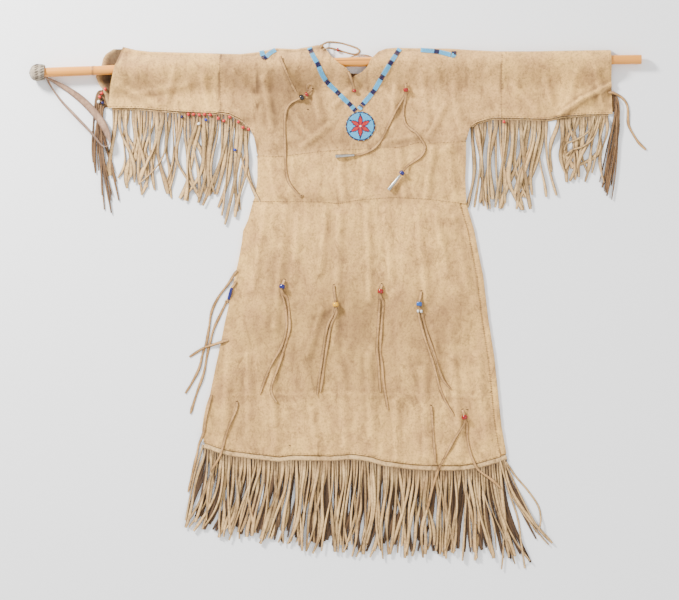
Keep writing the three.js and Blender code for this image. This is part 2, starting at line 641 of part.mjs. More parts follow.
// Wrist strap rows: x, y, z, width, tilt in degrees. It leaves the cap flat and comes back on its edge.
const STRAP = [
  [-644.2, 487, 13, 6, 50], [-628, 480, 9, 8, 30], [-593, 460, 5, 13, 10], [-564, 438, 6.5, 16, 0],
  [-538, 411, 8.5, 17, 0], [-520, 386, 8.5, 17, 10], [-509, 362, 11, 16, 40], [-505, 344, 13.5, 14, 75],
  [-512, 337, 14, 14, 88], [-523, 341, 14, 14, 80], [-547, 370, 13, 13, 68], [-584, 409, 9, 12, 60],
  [-613, 440, 7, 9, 60], [-634, 470, 6, 6, 60], [-644.2, 490, 4.6, 5, 0],
];
const STRAP_THICK = 1.8;

function strap(name, rows, color) {
  const solid = new Solid();
  const rings = rows.map(([x, y, z, width, tilt], i) => {
    const before = rows[Math.max(0, i - 1)];
    const after = rows[Math.min(rows.length - 1, i + 1)];
    const forward = new THREE.Vector3(after[0] - before[0], after[1] - before[1], 0).normalize();
    const level = new THREE.Vector3(-forward.y, forward.x, 0);
    const angle = THREE.MathUtils.degToRad(tilt);
    const side = level.clone().multiplyScalar(Math.cos(angle)).add(new THREE.Vector3(0, 0, Math.sin(angle)));
    const face = new THREE.Vector3().crossVectors(forward, side).normalize();
    const corner = (a, b) => {
      const p = new THREE.Vector3(x, y, z).addScaledVector(side, a * width / 2);
      p.addScaledVector(face, (b * STRAP_THICK) / 2);
      return solid.point(p.x, p.y, p.z);
    };
    return [corner(-1, -1), corner(1, -1), corner(1, 1), corner(-1, 1)];
  });
  rings.slice(1).forEach((next, i) => next.forEach((point, k) => {
    const other = (k + 1) % 4;
    solid.quad(rings[i][k], rings[i][other], next[other], point);
  }));
  solid.quad(...[...rings[0]].reverse());
  solid.quad(...rings.at(-1));
  return add(name, solid.geometry(), color);
}
strap('wrist_strap', STRAP, 0xb89a86);

// Thongs. Each route is rows of x, y, lift from where it leaves the dress to its free end
const THONG = 5;
const THONG_THICK = 2;
const THONGS = {
  chest_thong_left: [[-60, 463], [-66, 457, 3], [-72, 451.5, 4], [-77.5, 448, 4.8], [-83, 444.7, 5.4],
    [-88.5, 441.8, 5.2], [-97, 438, 1.5], [-107, 432.5], [-116.5, 419], [-120, 398], [-120, 356], [-118.6, 308],
    [-116, 275], [-108, 253], [-87, 229]],
  chest_thong_right_long: [[145.8, 475], [145.7, 469, 3], [145.6, 461.3, 4.5], [145.4, 455, 4.3],
    [142, 446, 1.5], [136, 436], [118, 405], [98, 363], [86, 344], [72, 331], [51, 321, 0.4], [38, 318.6, 1.6],
    [32.6, 318.2, 1.9]],
  chest_thong_right_short: [[146.6, 455.6, 0.2], [146, 448, 2.4], [144.5, 437], [140.5, 414], [144.5, 389],
    [156, 376], [168.5, 367], [184, 346], [188, 333], [180, 317], [160, 302], [148, 292.5, 2.5],
    [142.4, 286.2, 4.8], [137, 279, 5.2], [133.4, 274.2, 5]],
  skirt_thong_a_1: [[-121, 44], [-123.4, 38, 3.8], [-126, 29.5, 5.4], [-127.6, 23.5, 5.2], [-127, 13, 1.5],
    [-123, 1], [-118, -24], [-117, -64], [-127, -101], [-152, -147], [-175, -207]],
  skirt_thong_a_2: [[-127.8, 22.6, 0], [-122.8, 13, 1.5], [-115, 3], [-111, -24], [-110, -64], [-119.5, -101],
    [-133, -143], [-149, -190], [-147, -210], [-138, -224]],
  skirt_thong_b_1: [[-12.5, 32], [-11.5, 20], [-10, 8, 0.5], [-8.9, -3, 4.6], [-8.6, -9.7, 5.4],
    [-8.2, -14.5, 5.2], [-10, -24, 1.5], [-16, -36], [-27, -60], [-37, -119], [-44.5, -174], [-49, -209]],
  skirt_thong_b_2: [[-8, -16.2, 0], [-6, -24, 1.5], [-9, -36], [-19.5, -60], [-30, -119], [-37.5, -174],
    [-42, -203]],
  skirt_thong_c_1: [[93.4, 34], [91.6, 27.5, 3.8], [90, 19, 5.4], [88.9, 13, 5.2], [88.3, 3, 1.5], [88.5, -8],
    [85, -57], [82.5, -108], [85.5, -138], [90, -202]],
  skirt_thong_c_2: [[88.8, 12, 0], [92.5, 3, 1.5], [96.5, -8], [92.5, -57], [90, -108], [93.2, -138], [98.5, -190],
    [107, -242]],
  skirt_thong_d_1: [[179.5, 18.5], [178.5, 10, 0.6], [176.3, 0, 4.2], [175, -8.8, 5.4], [174.2, -14, 5.2],
    [173.4, -24, 1.5], [174.5, -35], [185, -76], [202.5, -128], [213, -165], [221.5, -196], [234, -225],
    [251, -253]],
  skirt_thong_d_2: [[174.2, -15.4, 0], [178, -23, 1.5], [182.5, -33], [192.8, -74], [211, -126],
    [222, -163], [232, -182], [245, -196]],
  skirt_thong_e: [[-225, -224], [-227, -241], [-241, -274], [-250.5, -301], [-256, -322], [-264, -346],
    [-283, -376]],
  skirt_thong_f: [[201, -233], [203, -250], [205.7, -286], [208, -320], [212, -357]],
  skirt_thong_g_1: [[270.2, -241.5], [272.3, -248, 3.8], [274.6, -257.4, 5.4], [275.6, -263, 5.2],
    [274, -272, 1.6], [266, -285], [250, -310], [232, -345], [224, -360], [217, -373], [202, -422],
    [192.5, -462]],
  skirt_thong_g_2: [[275.8, -264, 0], [280, -272, 1.5], [280.5, -284], [282, -310], [289, -340],
    [295, -355], [306, -374], [336, -396], [354, -413]],
  side_thong_1: [[-224, 64], [-230, 58], [-244, 37], [-267, 4.5], [-282, -28.5], [-287, -59.5],
    [-292.5, -94.5], [-301, -119], [-309, -150], [-324.5, -182.5], [-339, -205.5]],
  side_thong_2: [[-226, 40], [-232.5, 32], [-238.5, 22], [-244, 4], [-250.5, -8], [-262, -33], [-276, -62],
    [-284.5, -92], [-291, -122], [-298, -158], [-312, -200], [-328, -250]],
  side_thong_3: [[-244, -88], [-254, -90.5], [-263, -93.5], [-278, -98], [-299, -105.6], [-314, -115], [-330, -125.5]],
  corner_thong: [[-281, -208], [-288, -236], [-293.5, -262], [-297.5, -288], [-303.5, -305], [-309.5, -318],
    [-314, -341], [-323, -381], [-333, -422]],
  cuff_thong: [[590, 456], [600, 455.5], [612, 451], [622, 444.5], [630, 434], [634, 420], [635, 391],
    [639, 378], [646, 365], [658, 346], [674, 330]],
};
Object.entries(THONGS).forEach(([name, rows]) => lay(name, rows, THONG, THONG_THICK, TAN));

// The thinner thongs at the neck
const NECK_THONG = 4;
const NECK_THONG_THICK = 1.8;
lay('neck_loop', [[-42, 553], [-38, 560], [-31, 565], [-20, 568], [0, 566], [16.5, 561.5], [38.5, 553.5],
  [44, 547], [38.5, 541.5], [28, 541], [5.5, 547], [-15, 553], [-26, 553.5], [-36, 549]], NECK_THONG,
NECK_THONG_THICK, TAN);
lay('neck_tie', [[19, 500], [22, 494], [25, 486], [28.5, 478], [31.5, 468], [33, 460], [35, 453]],
  NECK_THONG, NECK_THONG_THICK, TAN);

// Beads are short tubes on a thong, at x, y along it
const BEAD_BORE = 3.5;
const BEAD_SIDES = 10;

function bead(name, thong, [x, y], radius, length, color) {
  const half = length / 2;
  const share = nearestShare(routes[thong], x, y);
  const centre = routes[thong].getPointAt(share);
  const ahead = centre.clone().add(routes[thong].getTangentAt(share));
  const profile = [[BEAD_BORE, -half], [radius * 0.85, -half], [radius, 0], [radius * 0.85, half],
    [BEAD_BORE, half], [BEAD_BORE, -half]];
  return turnedPiece(name, profile, BEAD_SIDES, centre.toArray(), ahead.toArray(), color, 0.25);
}

const RED = 0xcd3c37;
const COBALT = 0x2d37aa;
const YELLOW = 0xebd75a;
const MID_BLUE = 0x3c78b4;
bead('chest_bead_left_red', 'chest_thong_left', [-72, 451.5], 5, 6, RED);
bead('chest_bead_left_black', 'chest_thong_left', [-83, 444.7], 6.4, 9, 0x202024);
bead('chest_bead_right_red', 'chest_thong_right_long', [145.6, 461.3], 5.5, 8, RED);
bead('chest_bead_right_blue', 'chest_thong_right_short', [137, 279], 6, 8, COBALT);
bead('skirt_bead_a', 'skirt_thong_a_1', [-126, 29.5], 6.4, 9, COBALT);
bead('skirt_bead_b', 'skirt_thong_b_1', [-8.6, -9.7], 6.4, 9, YELLOW);
bead('skirt_bead_c', 'skirt_thong_c_1', [90, 19], 6.4, 9, RED);
bead('skirt_bead_d', 'skirt_thong_d_1', [175, -8.8], 6.4, 9, MID_BLUE);
bead('skirt_bead_g', 'skirt_thong_g_1', [274.8, -257.4], 6.4, 9, RED);

// Rolled metal cones on the ends of the right chest thongs
const CONE_LENGTH = 41;
const CONE_PROFILE = [[2.1, 0], [2.8, 0], [4.6, CONE_LENGTH], [3.9, CONE_LENGTH], [2.1, 0]];

function cone(name, thong, [x, y]) {
  const end = routes[thong].getPointAt(1);
  const start = routes[thong].getTangentAt(1).multiplyScalar(GAP * 2).add(end);
  const far = ground(x, y, CONE_PROFILE[2][0]) + GAP + CONE_PROFILE[2][0];
  return turnedPiece(name, CONE_PROFILE, BEAD_SIDES, start.toArray(), [x, y, far], 0xb9bcc0, 0.3, 0.9);
}
cone('cone_left', 'chest_thong_right_long', [-9, 315.6]);
cone('cone_right', 'chest_thong_right_short', [107.2, 241.4]);

export default group;
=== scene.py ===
# %% [markdown]
# # A fringed hide dress, laid out flat
# The dress lies on a white table with a cane pole through its sleeves, and we look straight down at it.
# The solid model is loaded first and never moves. Each soft piece here is a finer one on the same shape.

# %% Load the fixed frame
import math
import random

import bpy
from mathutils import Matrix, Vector, noise
from mathutils.bvhtree import BVHTree


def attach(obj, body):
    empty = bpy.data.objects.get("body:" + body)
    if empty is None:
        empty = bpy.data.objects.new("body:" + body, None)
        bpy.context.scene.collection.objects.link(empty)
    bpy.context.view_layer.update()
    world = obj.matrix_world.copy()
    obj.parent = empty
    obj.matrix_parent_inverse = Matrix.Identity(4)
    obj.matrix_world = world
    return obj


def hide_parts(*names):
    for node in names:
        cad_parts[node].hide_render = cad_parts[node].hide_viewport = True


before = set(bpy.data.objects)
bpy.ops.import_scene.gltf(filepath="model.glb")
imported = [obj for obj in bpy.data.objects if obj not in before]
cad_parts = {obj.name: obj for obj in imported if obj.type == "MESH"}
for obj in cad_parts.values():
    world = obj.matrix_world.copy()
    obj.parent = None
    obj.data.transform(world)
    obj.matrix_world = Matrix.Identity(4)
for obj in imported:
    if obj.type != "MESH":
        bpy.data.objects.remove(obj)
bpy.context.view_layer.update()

MM = 0.001
print("loaded", len(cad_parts), "solids")

# %% [markdown]
# ## Camera, table and light
# The photograph is taken from straight above, so that the garment shows no perspective. A long lens far away
# does the same. One pixel of the picture is 2.2 mm of the table, which sets the lens.

# %% Camera
PICTURE = (679, 600)
PIXEL = 2.2
CAMERA_HEIGHT = 6.0
SENSOR = 36.0


def add_object(name, data):
    made = bpy.data.objects.new(name, data)
    bpy.context.collection.objects.link(made)
    return made


camera_data = bpy.data.cameras.new("camera")
camera_data.sensor_width = SENSOR
camera_data.lens = SENSOR * CAMERA_HEIGHT / (PICTURE[0] * PIXEL * MM)
camera = add_object("camera", camera_data)
camera.location = (0, 0, CAMERA_HEIGHT)
bpy.context.scene.camera = camera
print("lens", round(camera_data.lens, 1), "mm")

# %% [markdown]
# The table is one large matt sheet. The light in the photograph is soft, with one stronger lamp at the upper
# left that draws short shadows. Area lamps give such light, and a pale world fills what they leave.

# %% Table and lamps, as place, size and power
TABLE_SIZE, TABLE_TOP = 30, -0.0004
WORLD_LIGHT = 1.15
LAMPS = {"key lamp": ((-1.9, 1.9, 1.5), 0.5, 225), "fill lamp": ((1.9, -0.6, 2.4), 2.6, 30),
         "low lamp": ((-0.2, -2.2, 2.2), 2.4, 12)}


def fill(tree, made, inputs):
    for key, value in inputs.items():
        if isinstance(value, bpy.types.NodeSocket):
            tree.links.new(value, made.inputs[key])
        else:
            made.inputs[key].default_value = value


def new_material(name):
    material = bpy.data.materials.new(name)
    material.use_nodes = True
    return material, material.node_tree, material.node_tree.nodes["Principled BSDF"]


bpy.ops.mesh.primitive_plane_add(size=TABLE_SIZE, location=(0, 0, TABLE_TOP))
table = bpy.context.object
table.name = "table"
white, tree, shader = new_material("white table")
fill(tree, shader, {"Base Color": (0.97, 0.97, 0.97, 1), "Roughness": 0.9})
table.data.materials.append(white)

for name, (place, size, power) in LAMPS.items():
    data = bpy.data.lights.new(name, "AREA")
    data.size, data.energy = size, power
    lamp = add_object(name, data)
    lamp.location = place
    lamp.rotation_euler = (-Vector(place)).to_track_quat("-Z", "Y").to_euler()
world = bpy.data.worlds.new("studio")
bpy.context.scene.world = world
world.use_nodes = True
fill(world.node_tree, world.node_tree.nodes["Background"], {"Color": (1, 1, 1, 1), "Strength": WORLD_LIGHT})
print(len(LAMPS), "lamps and a white table")

# %% [markdown]
# ## Sizes of the dress
# The tables repeat the outline of the garment in millimetres. A short table with named columns is easier to
# check against the photograph than a mesh, and each panel below is worked out from them.

# %% Outline tables
HIDE = 2.0
FRONT_TOP = 4.3
FOLD_RUN = 5.0
FOLD_INSET = 5.3
POLE_RADIUS = 10.5
POLE_LINE = [(-655, 499), (-542, 503), (-307, 512.5), (30, 522.5), (353, 525.5), (663, 528)]
POLE_HEIGHT = [(-655, 18.9), (663, 12.6)]
DRAPE_BELOW, DRAPE_ABOVE, DRAPE_SPARE = 62, 46, 0.8
SEAM_LEFT, SEAM_RIGHT = -262, 356
WELT = 14

OVERARM_LEFT = [(-476, 557), (-448, 550), (-417, 546.5), (-219, 541), (-179, 545.5), (-138, 554),
                (-96, 552), (-47, 561), (-34, 557)]
NECK_FRONT = [(-34, 557), (-16.5, 532), (1, 517), (16, 508), (22, 497), (28, 488), (49.5, 499),
              (60.5, 510), (68.5, 528), (85, 545), (102, 552), (126, 554)]
OVERARM_RIGHT = [(126, 554), (177, 554), (245, 553), (287, 550), (346, 547), (419, 547), (595, 550)]
NECK_BACK = [(-46, 555), (-24, 530), (-3, 512), (24, 498), (58, 498), (74, 512), (90, 532), (132, 549)]
UNDERARM_LEFT = [(-509, 422), (-437, 422), (-395, 418), (-344, 414.5), (-276, 411), (-262, 414),
                 (-243, 411), (-217, 398), (-197, 378), (-185, 350), (-181.5, 317)]
UNDERARM_RIGHT = [(278, 348), (287, 381), (305, 392), (338, 401), (399, 400), (461, 398), (489, 404),
                  (540, 408), (600, 409)]
YOKE_SEAM = [(-181.5, 317), (-129, 315), (-96, 320), (-21, 328), (89, 334), (137, 337), (173, 346),
             (199, 345), (278, 348)]
BAND_SEAM = [(-190, 217), (-43, 215.5), (-3, 212), (30, 218), (113, 225), (199, 221), (279, 211)]
HEM = [(-298, -313), (-266, -324), (-241, -331), (-191, -337), (-133, -344), (-103, -340), (-21, -342),
       (27, -338), (64, -343), (98, -353), (153, -360), (195, -363), (265, -363), (307, -357), (350, -345),
       (367, -338)]
LEFT_EDGE = [(-313, -298), (-286, -302.5), (-260, -299), (-233, -293.5), (-209, -285), (-145, -272),
             (-95, -261), (-53, -253), (-9, -243), (51, -230), (92, -221), (129, -214.5), (152, -212),
             (176, -201), (217, -190), (231, -184.5), (268, -180.5), (308, -180.5), (317, -181.5)]
RIGHT_EDGE = [(-338, 367), (-277, 356), (-125, 340.5), (-44, 327.5), (53, 316), (101, 306), (154, 296),
              (211, 279), (264, 276.5), (306, 278), (348, 278)]
CUFF_LEFT = [(422, -509), (471, -503), (514, -492), (532, -485), (557, -476)]
CUFF_RIGHT = [(409, 600), (550, 595)]
CUFF_LEFT_BACK = [(422, -509), (462, -520), (475, -529), (491, -535), (515, -523), (530, -520),
                  (541, -514), (552, -497)]


def mix(a, b, t):
    return a + (b - a) * t


def clamp(value):
    return min(1.0, max(0.0, value))


def line_at(rows, at):
    if at <= rows[0][0]:
        return rows[0][1]
    for (x0, y0), (x1, y1) in zip(rows, rows[1:]):
        if at <= x1:
            return mix(y0, y1, (at - x0) / (x1 - x0))
    return rows[-1][1]


print("tables ready")

# %% [markdown]
# ## How the hide lies
# Smoked hide is thick and springy. It lies flat on the table, rides over the pole in a soft tent, and keeps
# long shallow creases where it was folded away. Each crease is a ridge between two points.

# %% Folds and creases, as from x, y, to x, y, height and half width
FOLDS = [
    (-133, 540, -108, 470, 6, 18), (-8, 470, 10, 496, 3, 16), (209, 486, 221, 427, 4, 24),
    (-190, 372, -145, 345, 4, 18), (275, 368, 235, 335, 4, 18), (490, 418, 575, 462, 6, 16),
    (-430, 490, -330, 440, 3, 26), (400, 490, 450, 440, 3, 24), (-60, 300, -50, 240, 3, 24),
    (-150, 190, -180, -60, 4, 28), (-65, 150, -78, -220, 3, 26), (30, 190, 35, -60, 3, 26),
    (140, 120, 150, -200, 4, 24), (225, 180, 262, -120, 3, 24), (-215, -60, -232, -170, 3, 20),
]
CREASES = [
    (-232, 500, -184, 440, 2.2, 9), (-62, 470, -42, 398, 2, 8), (-166, 486, -150, 380, 2, 8),
    (122, 470, 116, 378, 2, 8), (182, 500, 192, 384, 1.8, 9), (252, 470, 262, 388, 2, 9),
    (-24, 384, -84, 338, 1.8, 8), (96, 346, 172, 362, 1.6, 7), (232, 430, 198, 362, 1.8, 8),
    (-112, 420, -60, 352, 1.6, 9), (30, 470, -10, 430, 1.6, 7), (90, 470, 120, 430, 1.6, 8),
    (-484, 470, -402, 430, 2.2, 9), (-452, 452, -332, 472, 1.8, 9), (-300, 486, -288, 420, 1.8, 8),
    (-382, 436, -362, 500, 1.6, 8), (382, 472, 432, 418, 2, 8), (452, 482, 470, 414, 2, 8),
    (520, 500, 504, 444, 1.6, 8), (562, 506, 578, 428, 1.8, 8), (483, 407, 531, 441, 3, 6),
    (531, 441, 596, 473, 3.4, 6), (-254, 440, -212, 404, 2, 8), (-152, 304, -140, 226, 1.8, 8),
    (-100, 306, -112, 230, 1.6, 8), (0, 320, 6, 224, 1.8, 8), (60, 300, 50, 230, 1.4, 7),
    (130, 328, 142, 230, 1.8, 8), (204, 332, 190, 226, 1.8, 8), (240, 336, 252, 220, 1.6, 8),
    (-162, 206, -192, 24, 2.2, 9), (-120, 202, -142, -58, 2.2, 9), (-92, 182, -102, 42, 1.8, 8),
    (-30, 202, -42, 62, 2, 8), (0, 192, -12, -98, 2.2, 9), (60, 202, 66, 2, 2, 8),
    (100, 202, 112, 42, 2, 8), (170, 200, 190, 2, 2.2, 9), (210, 192, 236, 62, 2, 8),
    (250, 182, 282, 22, 1.8, 9), (-242, -80, -252, -282, 2.2, 10), (-202, -122, -202, -302, 2, 9),
    (-150, -150, -142, -322, 2.4, 9), (-62, -242, -50, -332, 2, 8), (2, -152, 12, -322, 2, 9),
    (62, -122, 72, -332, 2.2, 9), (122, -222, 126, -346, 2, 8), (182, -152, 192, -342, 2, 9),
    (242, -62, 266, -332, 2.2, 9), (302, -122, 322, -302, 2, 10), (-252, -208, 20, -206, 0.4, 4),
    (20, -206, 340, -212, 0.4, 4), (-40, -20, -70, -120, 1.6, 7), (205, -60, 215, -160, 1.6, 7),
]

# One factor for the depth of all creases, and how far a ridge reaches, as a squared distance
CREASE_DEPTH = 1.7
RIDGE_REACH = 8

# Stains, as x, y, half width, half height and depth
STAINS = [
    (-95, 455, 90, 60, 0.34), (-150, 400, 60, 60, 0.22), (-60, 390, 90, 40, 0.26), (-235, 500, 30, 50, 0.3),
    (-330, 520, 120, 24, 0.22), (-470, 500, 40, 60, 0.12), (-400, 440, 60, 24, 0.1), (160, 420, 60, 50, 0.14),
    (420, 470, 40, 50, 0.16), (560, 440, 50, 40, 0.14), (-40, 345, 90, 16, 0.26), (150, 350, 110, 14, 0.26),
    (0, 222, 180, 10, 0.22), (20, -10, 120, 60, 0.24), (60, -80, 170, 90, 0.34), (-130, -60, 100, 80, 0.22),
    (250, -60, 60, 90, 0.2), (-60, -170, 140, 50, 0.18), (120, -190, 120, 50, 0.18),
    (-240, -160, 40, 120, 0.14), (10, 110, 34, 60, 0.16), (250, 150, 40, 60, 0.1),
    (-150, 80, 60, 60, 0.1), (-200, -270, 60, 30, 0.12),
]

# Ripples, as the x and y shares of both axes of the noise, its layer, height and base
RIPPLES = [
    (0.014, 0, 0, 0.006, 3.1, 1.8, 0.3), (0.05, 0, 0, 0.018, 7.7, 1.5, 0.25),
    (0.03, 0.02, -0.02, 0.045, 12.4, 1.1, 0.0),
]


def ridge(x, y, x0, y0, x1, y1, height, width):
    dx, dy = x1 - x0, y1 - y0
    along = clamp(((x - x0) * dx + (y - y0) * dy) / (dx * dx + dy * dy))
    away = ((x - x0 - along * dx) ** 2 + (y - y0 - along * dy) ** 2) / width ** 2
    return height * math.exp(-away) if away < RIDGE_REACH else 0.0


def ripples(x, y):
    return sum(max(0.0, height * (noise.noise(Vector((x * a + y * b, x * c + y * d, layer))) + base))
               for a, b, c, d, layer, height, base in RIPPLES)


def tent(x, y):
    away = y - line_at(POLE_LINE, x)
    rise = line_at(POLE_HEIGHT, x) + POLE_RADIUS + 0.3 + DRAPE_SPARE + HIDE - FRONT_TOP
    fall = clamp(abs(away) / (DRAPE_BELOW if away < 0 else DRAPE_ABOVE))
    return rise * (1 - fall * fall * (3 - 2 * fall))


def front_height(x, y):
    folds = sum(ridge(x, y, *fold) for fold in FOLDS)
    creases = CREASE_DEPTH * sum(ridge(x, y, *crease) for crease in CREASES)
    return FRONT_TOP + tent(x, y) + folds + creases + ripples(x, y)


# The front is rounded over where it is folded along the top of the arms, but not in the neck
def fold_share(x):
    return line_at([(-70, 1), (-36, 0), (128, 0), (160, 1)], x)


print(len(FOLDS), "folds and", len(CREASES), "creases")

# %% [markdown]
# ## The suede finish
# Buckskin is matt, a little napped and never one colour: smoke leaves soft patches, handling leaves darker
# ones, and the pores make a fine tooth. The hollows of the fine wrinkles are darkened too, as painted shade.
# One node group gives all hides these masks, and each material chooses its own colours, so that the yoke is
# greyer than the skirt, as in the photograph.


# %% A node group for suede
WRINKLE_STRETCH = (1.5, 0.7, 1.0)
WRINKLE_HEIGHT = 4.0


def node(tree, kind, inputs, **settings):
    made = tree.nodes.new(kind)
    for key, value in settings.items():
        setattr(made, key, value)
    fill(tree, made, inputs)
    return made


def object_place(tree):
    return node(tree, "ShaderNodeTexCoord", {}).outputs["Object"]


def cloud(tree, **inputs):
    return node(tree, "ShaderNodeTexNoise", inputs).outputs["Fac"]


def suede_group():
    tree = bpy.data.node_groups.new("Suede", "ShaderNodeTree")
    tree.interface.new_socket("Patch scale", in_out="INPUT", socket_type="NodeSocketFloat")
    for name in ("Patches", "Speckle", "Streaks", "Height"):
        tree.interface.new_socket(name, in_out="OUTPUT", socket_type="NodeSocketFloat")
    scale = node(tree, "NodeGroupInput", {}).outputs["Patch scale"]
    place = object_place(tree)
    stretched = node(tree, "ShaderNodeMapping", {"Vector": place, "Scale": WRINKLE_STRETCH})
    patches = cloud(tree, Vector=place, Scale=scale, Detail=9.0, Roughness=0.78, Distortion=0.5)
    spots = cloud(tree, Vector=place, Scale=210.0, Detail=6.0, Roughness=0.75)
    pores = cloud(tree, Vector=place, Scale=620.0, Detail=3.0, Roughness=0.65)
    wrinkles = cloud(tree, Vector=stretched.outputs["Vector"], Scale=36.0, Detail=10.0, Roughness=0.8,
                     Distortion=0.8)
    masks = {"Height": node(tree, "ShaderNodeMath", {0: wrinkles, 1: WRINKLE_HEIGHT, 2: pores},
                            operation="MULTIPLY_ADD").outputs["Value"]}
    # Wrinkle shade is dark where the wrinkle bump is low: painted shade in its hollows
    for name, texture, low, high in (("Patches", patches, 0.38, 0.64), ("Speckle", spots, 0.48, 0.66),
                                     ("Streaks", wrinkles, 0.5, 0.3)):
        ramp = node(tree, "ShaderNodeMapRange", {"Value": texture, "From Min": low, "From Max": high})
        masks[name] = ramp.outputs["Result"]
    node(tree, "NodeGroupOutput", masks)
    return tree


SUEDE = suede_group()
print("suede group:", len(SUEDE.nodes), "nodes")

# %% [markdown]
# Hides differ in colour and in the size of their patches. The inside is painted darker, as the shade it lies
# in, and the dark fringe hide is also the painted shade of the under layer of the hem fringe. Thongs and fringe
# have smaller patches because they are narrow. One function makes them all from three colours and a scale.

# %% Hide materials, as light, dark and stained colour and patch scale
HIDE_COLOURS = {
    "yoke hide": ((242, 190, 114), (202, 154, 94), (96, 66, 38), 13.0),
    "skirt hide": ((252, 200, 114), (210, 160, 98), (98, 68, 40), 13.0),
    "shaded inner hide": ((150, 112, 72), (112, 80, 50), (60, 40, 24), 9.0),
    "fringe hide": ((242, 200, 136), (214, 168, 108), (58, 36, 20), 16.0),
    "cuff fringe hide": ((150, 112, 70), (116, 82, 50), (44, 28, 16), 16.0),
    "thong hide": ((226, 176, 110), (200, 150, 90), (64, 40, 20), 22.0),
    "strap leather": ((198, 160, 130), (160, 126, 102), (92, 66, 48), 24.0),
    "cap leather": ((176, 160, 138), (140, 124, 104), (62, 50, 38), 40.0),
}
# The stain colour comes in with the speckle, which is real, and with the wrinkle shade, which is painted shade
STAIN_AND_SHADE_SHARES = (("Speckle", 0.5), ("Streaks", 0.75))
BUMP_STRENGTH, BUMP_DEPTH = 0.7, 0.0006


def srgb(r, g, b):
    def one(value):
        value /= 255
        return value / 12.92 if value < 0.04045 else ((value + 0.055) / 1.055) ** 2.4
    return (one(r), one(g), one(b), 1)


def blend_colours(tree, amount, first, second):
    return node(tree, "ShaderNodeMix", {0: amount, 6: first, 7: second}, data_type="RGBA").outputs[2]


def kept_on_points(tree, name, output="Fac"):
    return node(tree, "ShaderNodeAttribute", {}, attribute_name=name).outputs[output]


def hide_material(name, light, dark, stain, patch_scale):
    material, tree, shader = new_material(name)
    suede = node(tree, "ShaderNodeGroup", {"Patch scale": patch_scale}, node_tree=SUEDE)
    ground = blend_colours(tree, suede.outputs["Patches"], srgb(*light), srgb(*dark))
    for mask, share in STAIN_AND_SHADE_SHARES:
        part = node(tree, "ShaderNodeMath", {0: suede.outputs[mask], 1: share}, operation="MULTIPLY")
        ground = blend_colours(tree, part.outputs["Value"], ground, srgb(*stain))
    # The tone kept on the points carries stains and random changes, and also the painted shade and light set
    # where each piece is made
    ground = blend_colours(tree, kept_on_points(tree, "tone"), srgb(*stain), ground)
    bump = node(tree, "ShaderNodeBump", {"Height": suede.outputs["Height"], "Strength": BUMP_STRENGTH,
                                         "Distance": BUMP_DEPTH})
    fill(tree, shader, {"Base Color": ground, "Roughness": 0.88, "Specular IOR Level": 0.2,
                        "Sheen Weight": 0.18, "Sheen Roughness": 0.6, "Normal": bump.outputs["Normal"]})
    return material


hides = {name: hide_material(name, *colours) for name, colours in HIDE_COLOURS.items()}
print(len(hides), "hides")

# %% [markdown]
# ## Cloth panels
# Each panel is a grid that is bent to the outline tables: one side of the grid is the lower seam, the other
# the upper one. Its points take their height from the same surface, so that neighbours meet at a seam. A
# Solidify modifier then gives the hide its thickness.


# %% One panel from its four edges
ROUND_SHARE = 0.07
SHEET = 1.7
LOWEST = 0.0001
# Clouds in the tone, as the scale along x and y, the layer of the noise and the share
TONE_CLOUDS = ((0.009, 0.009, 1.3, 0.14), (0.04, 0.02, 5.9, 0.16))
TONE_BASE = 0.93
# Points in a hollow are darkened as painted shade, and points on a crest lightened as painted highlight
HOLLOW_SHADE, CREST_HIGHLIGHT = 0.5, 0.12

cloth = {}


def panel_point(spec, u, v):
    foot, head, foot_x, head_x = (spec[key] for key in ("foot", "head", "foot_x", "head_x"))
    x0, x1 = mix(*foot_x, u), mix(*head_x, u)
    y0, y1 = foot(x0), head(x1)
    share, angle = v, 0.0
    if spec.get("rounded"):
        straight = 1 - ROUND_SHARE
        angle = clamp((v - straight) / ROUND_SHARE) * math.pi / 2
        level = mix(y0, y1 - FOLD_RUN, clamp(v / straight)) + FOLD_RUN * math.sin(angle)
        share = (level - y0) / (y1 - y0)
    bows = []
    for end, edge in enumerate((spec["left"], spec["right"])):
        level = mix(foot(foot_x[end]), head(head_x[end]), share)
        bows.append(edge(level) - mix(foot_x[end], head_x[end], share))
    x = mix(x0, x1, share) + mix(*bows, u)
    y = mix(y0, y1, share)
    z = spec["height"](x, y)
    if angle:
        rounded = spec["height"](x, y1 - FOLD_RUN) * math.cos(angle)
        z = mix(z, rounded, fold_share(x))
    return Vector((x, y, z))


def tone_of(x, y):
    clouds = sum(share * noise.noise(Vector((x * a, y * b, layer))) for a, b, layer, share in TONE_CLOUDS)
    stained = sum(depth * math.exp(-(((x - sx) / wide) ** 2 + ((y - sy) / tall) ** 2))
                  for sx, sy, wide, tall, depth in STAINS)
    return TONE_BASE + clouds - stained


def hollow(heights, index, columns, step=2):
    row = columns + 1
    around = [heights[i] for i in (index - step, index + step, index - step * row, index + step * row)
              if 0 <= i < len(heights)]
    return sum(around) / len(around) - heights[index]


def finish_piece(piece, material, node_name=None, slot=None):
    piece.data.materials.clear()
    piece.data.materials.append(material)
    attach(piece, "root")
    if node_name:
        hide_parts(node_name)


def keep_on_points(piece, values):
    piece.data.attributes.new("tone", "FLOAT", "POINT").data.foreach_set("value", values)


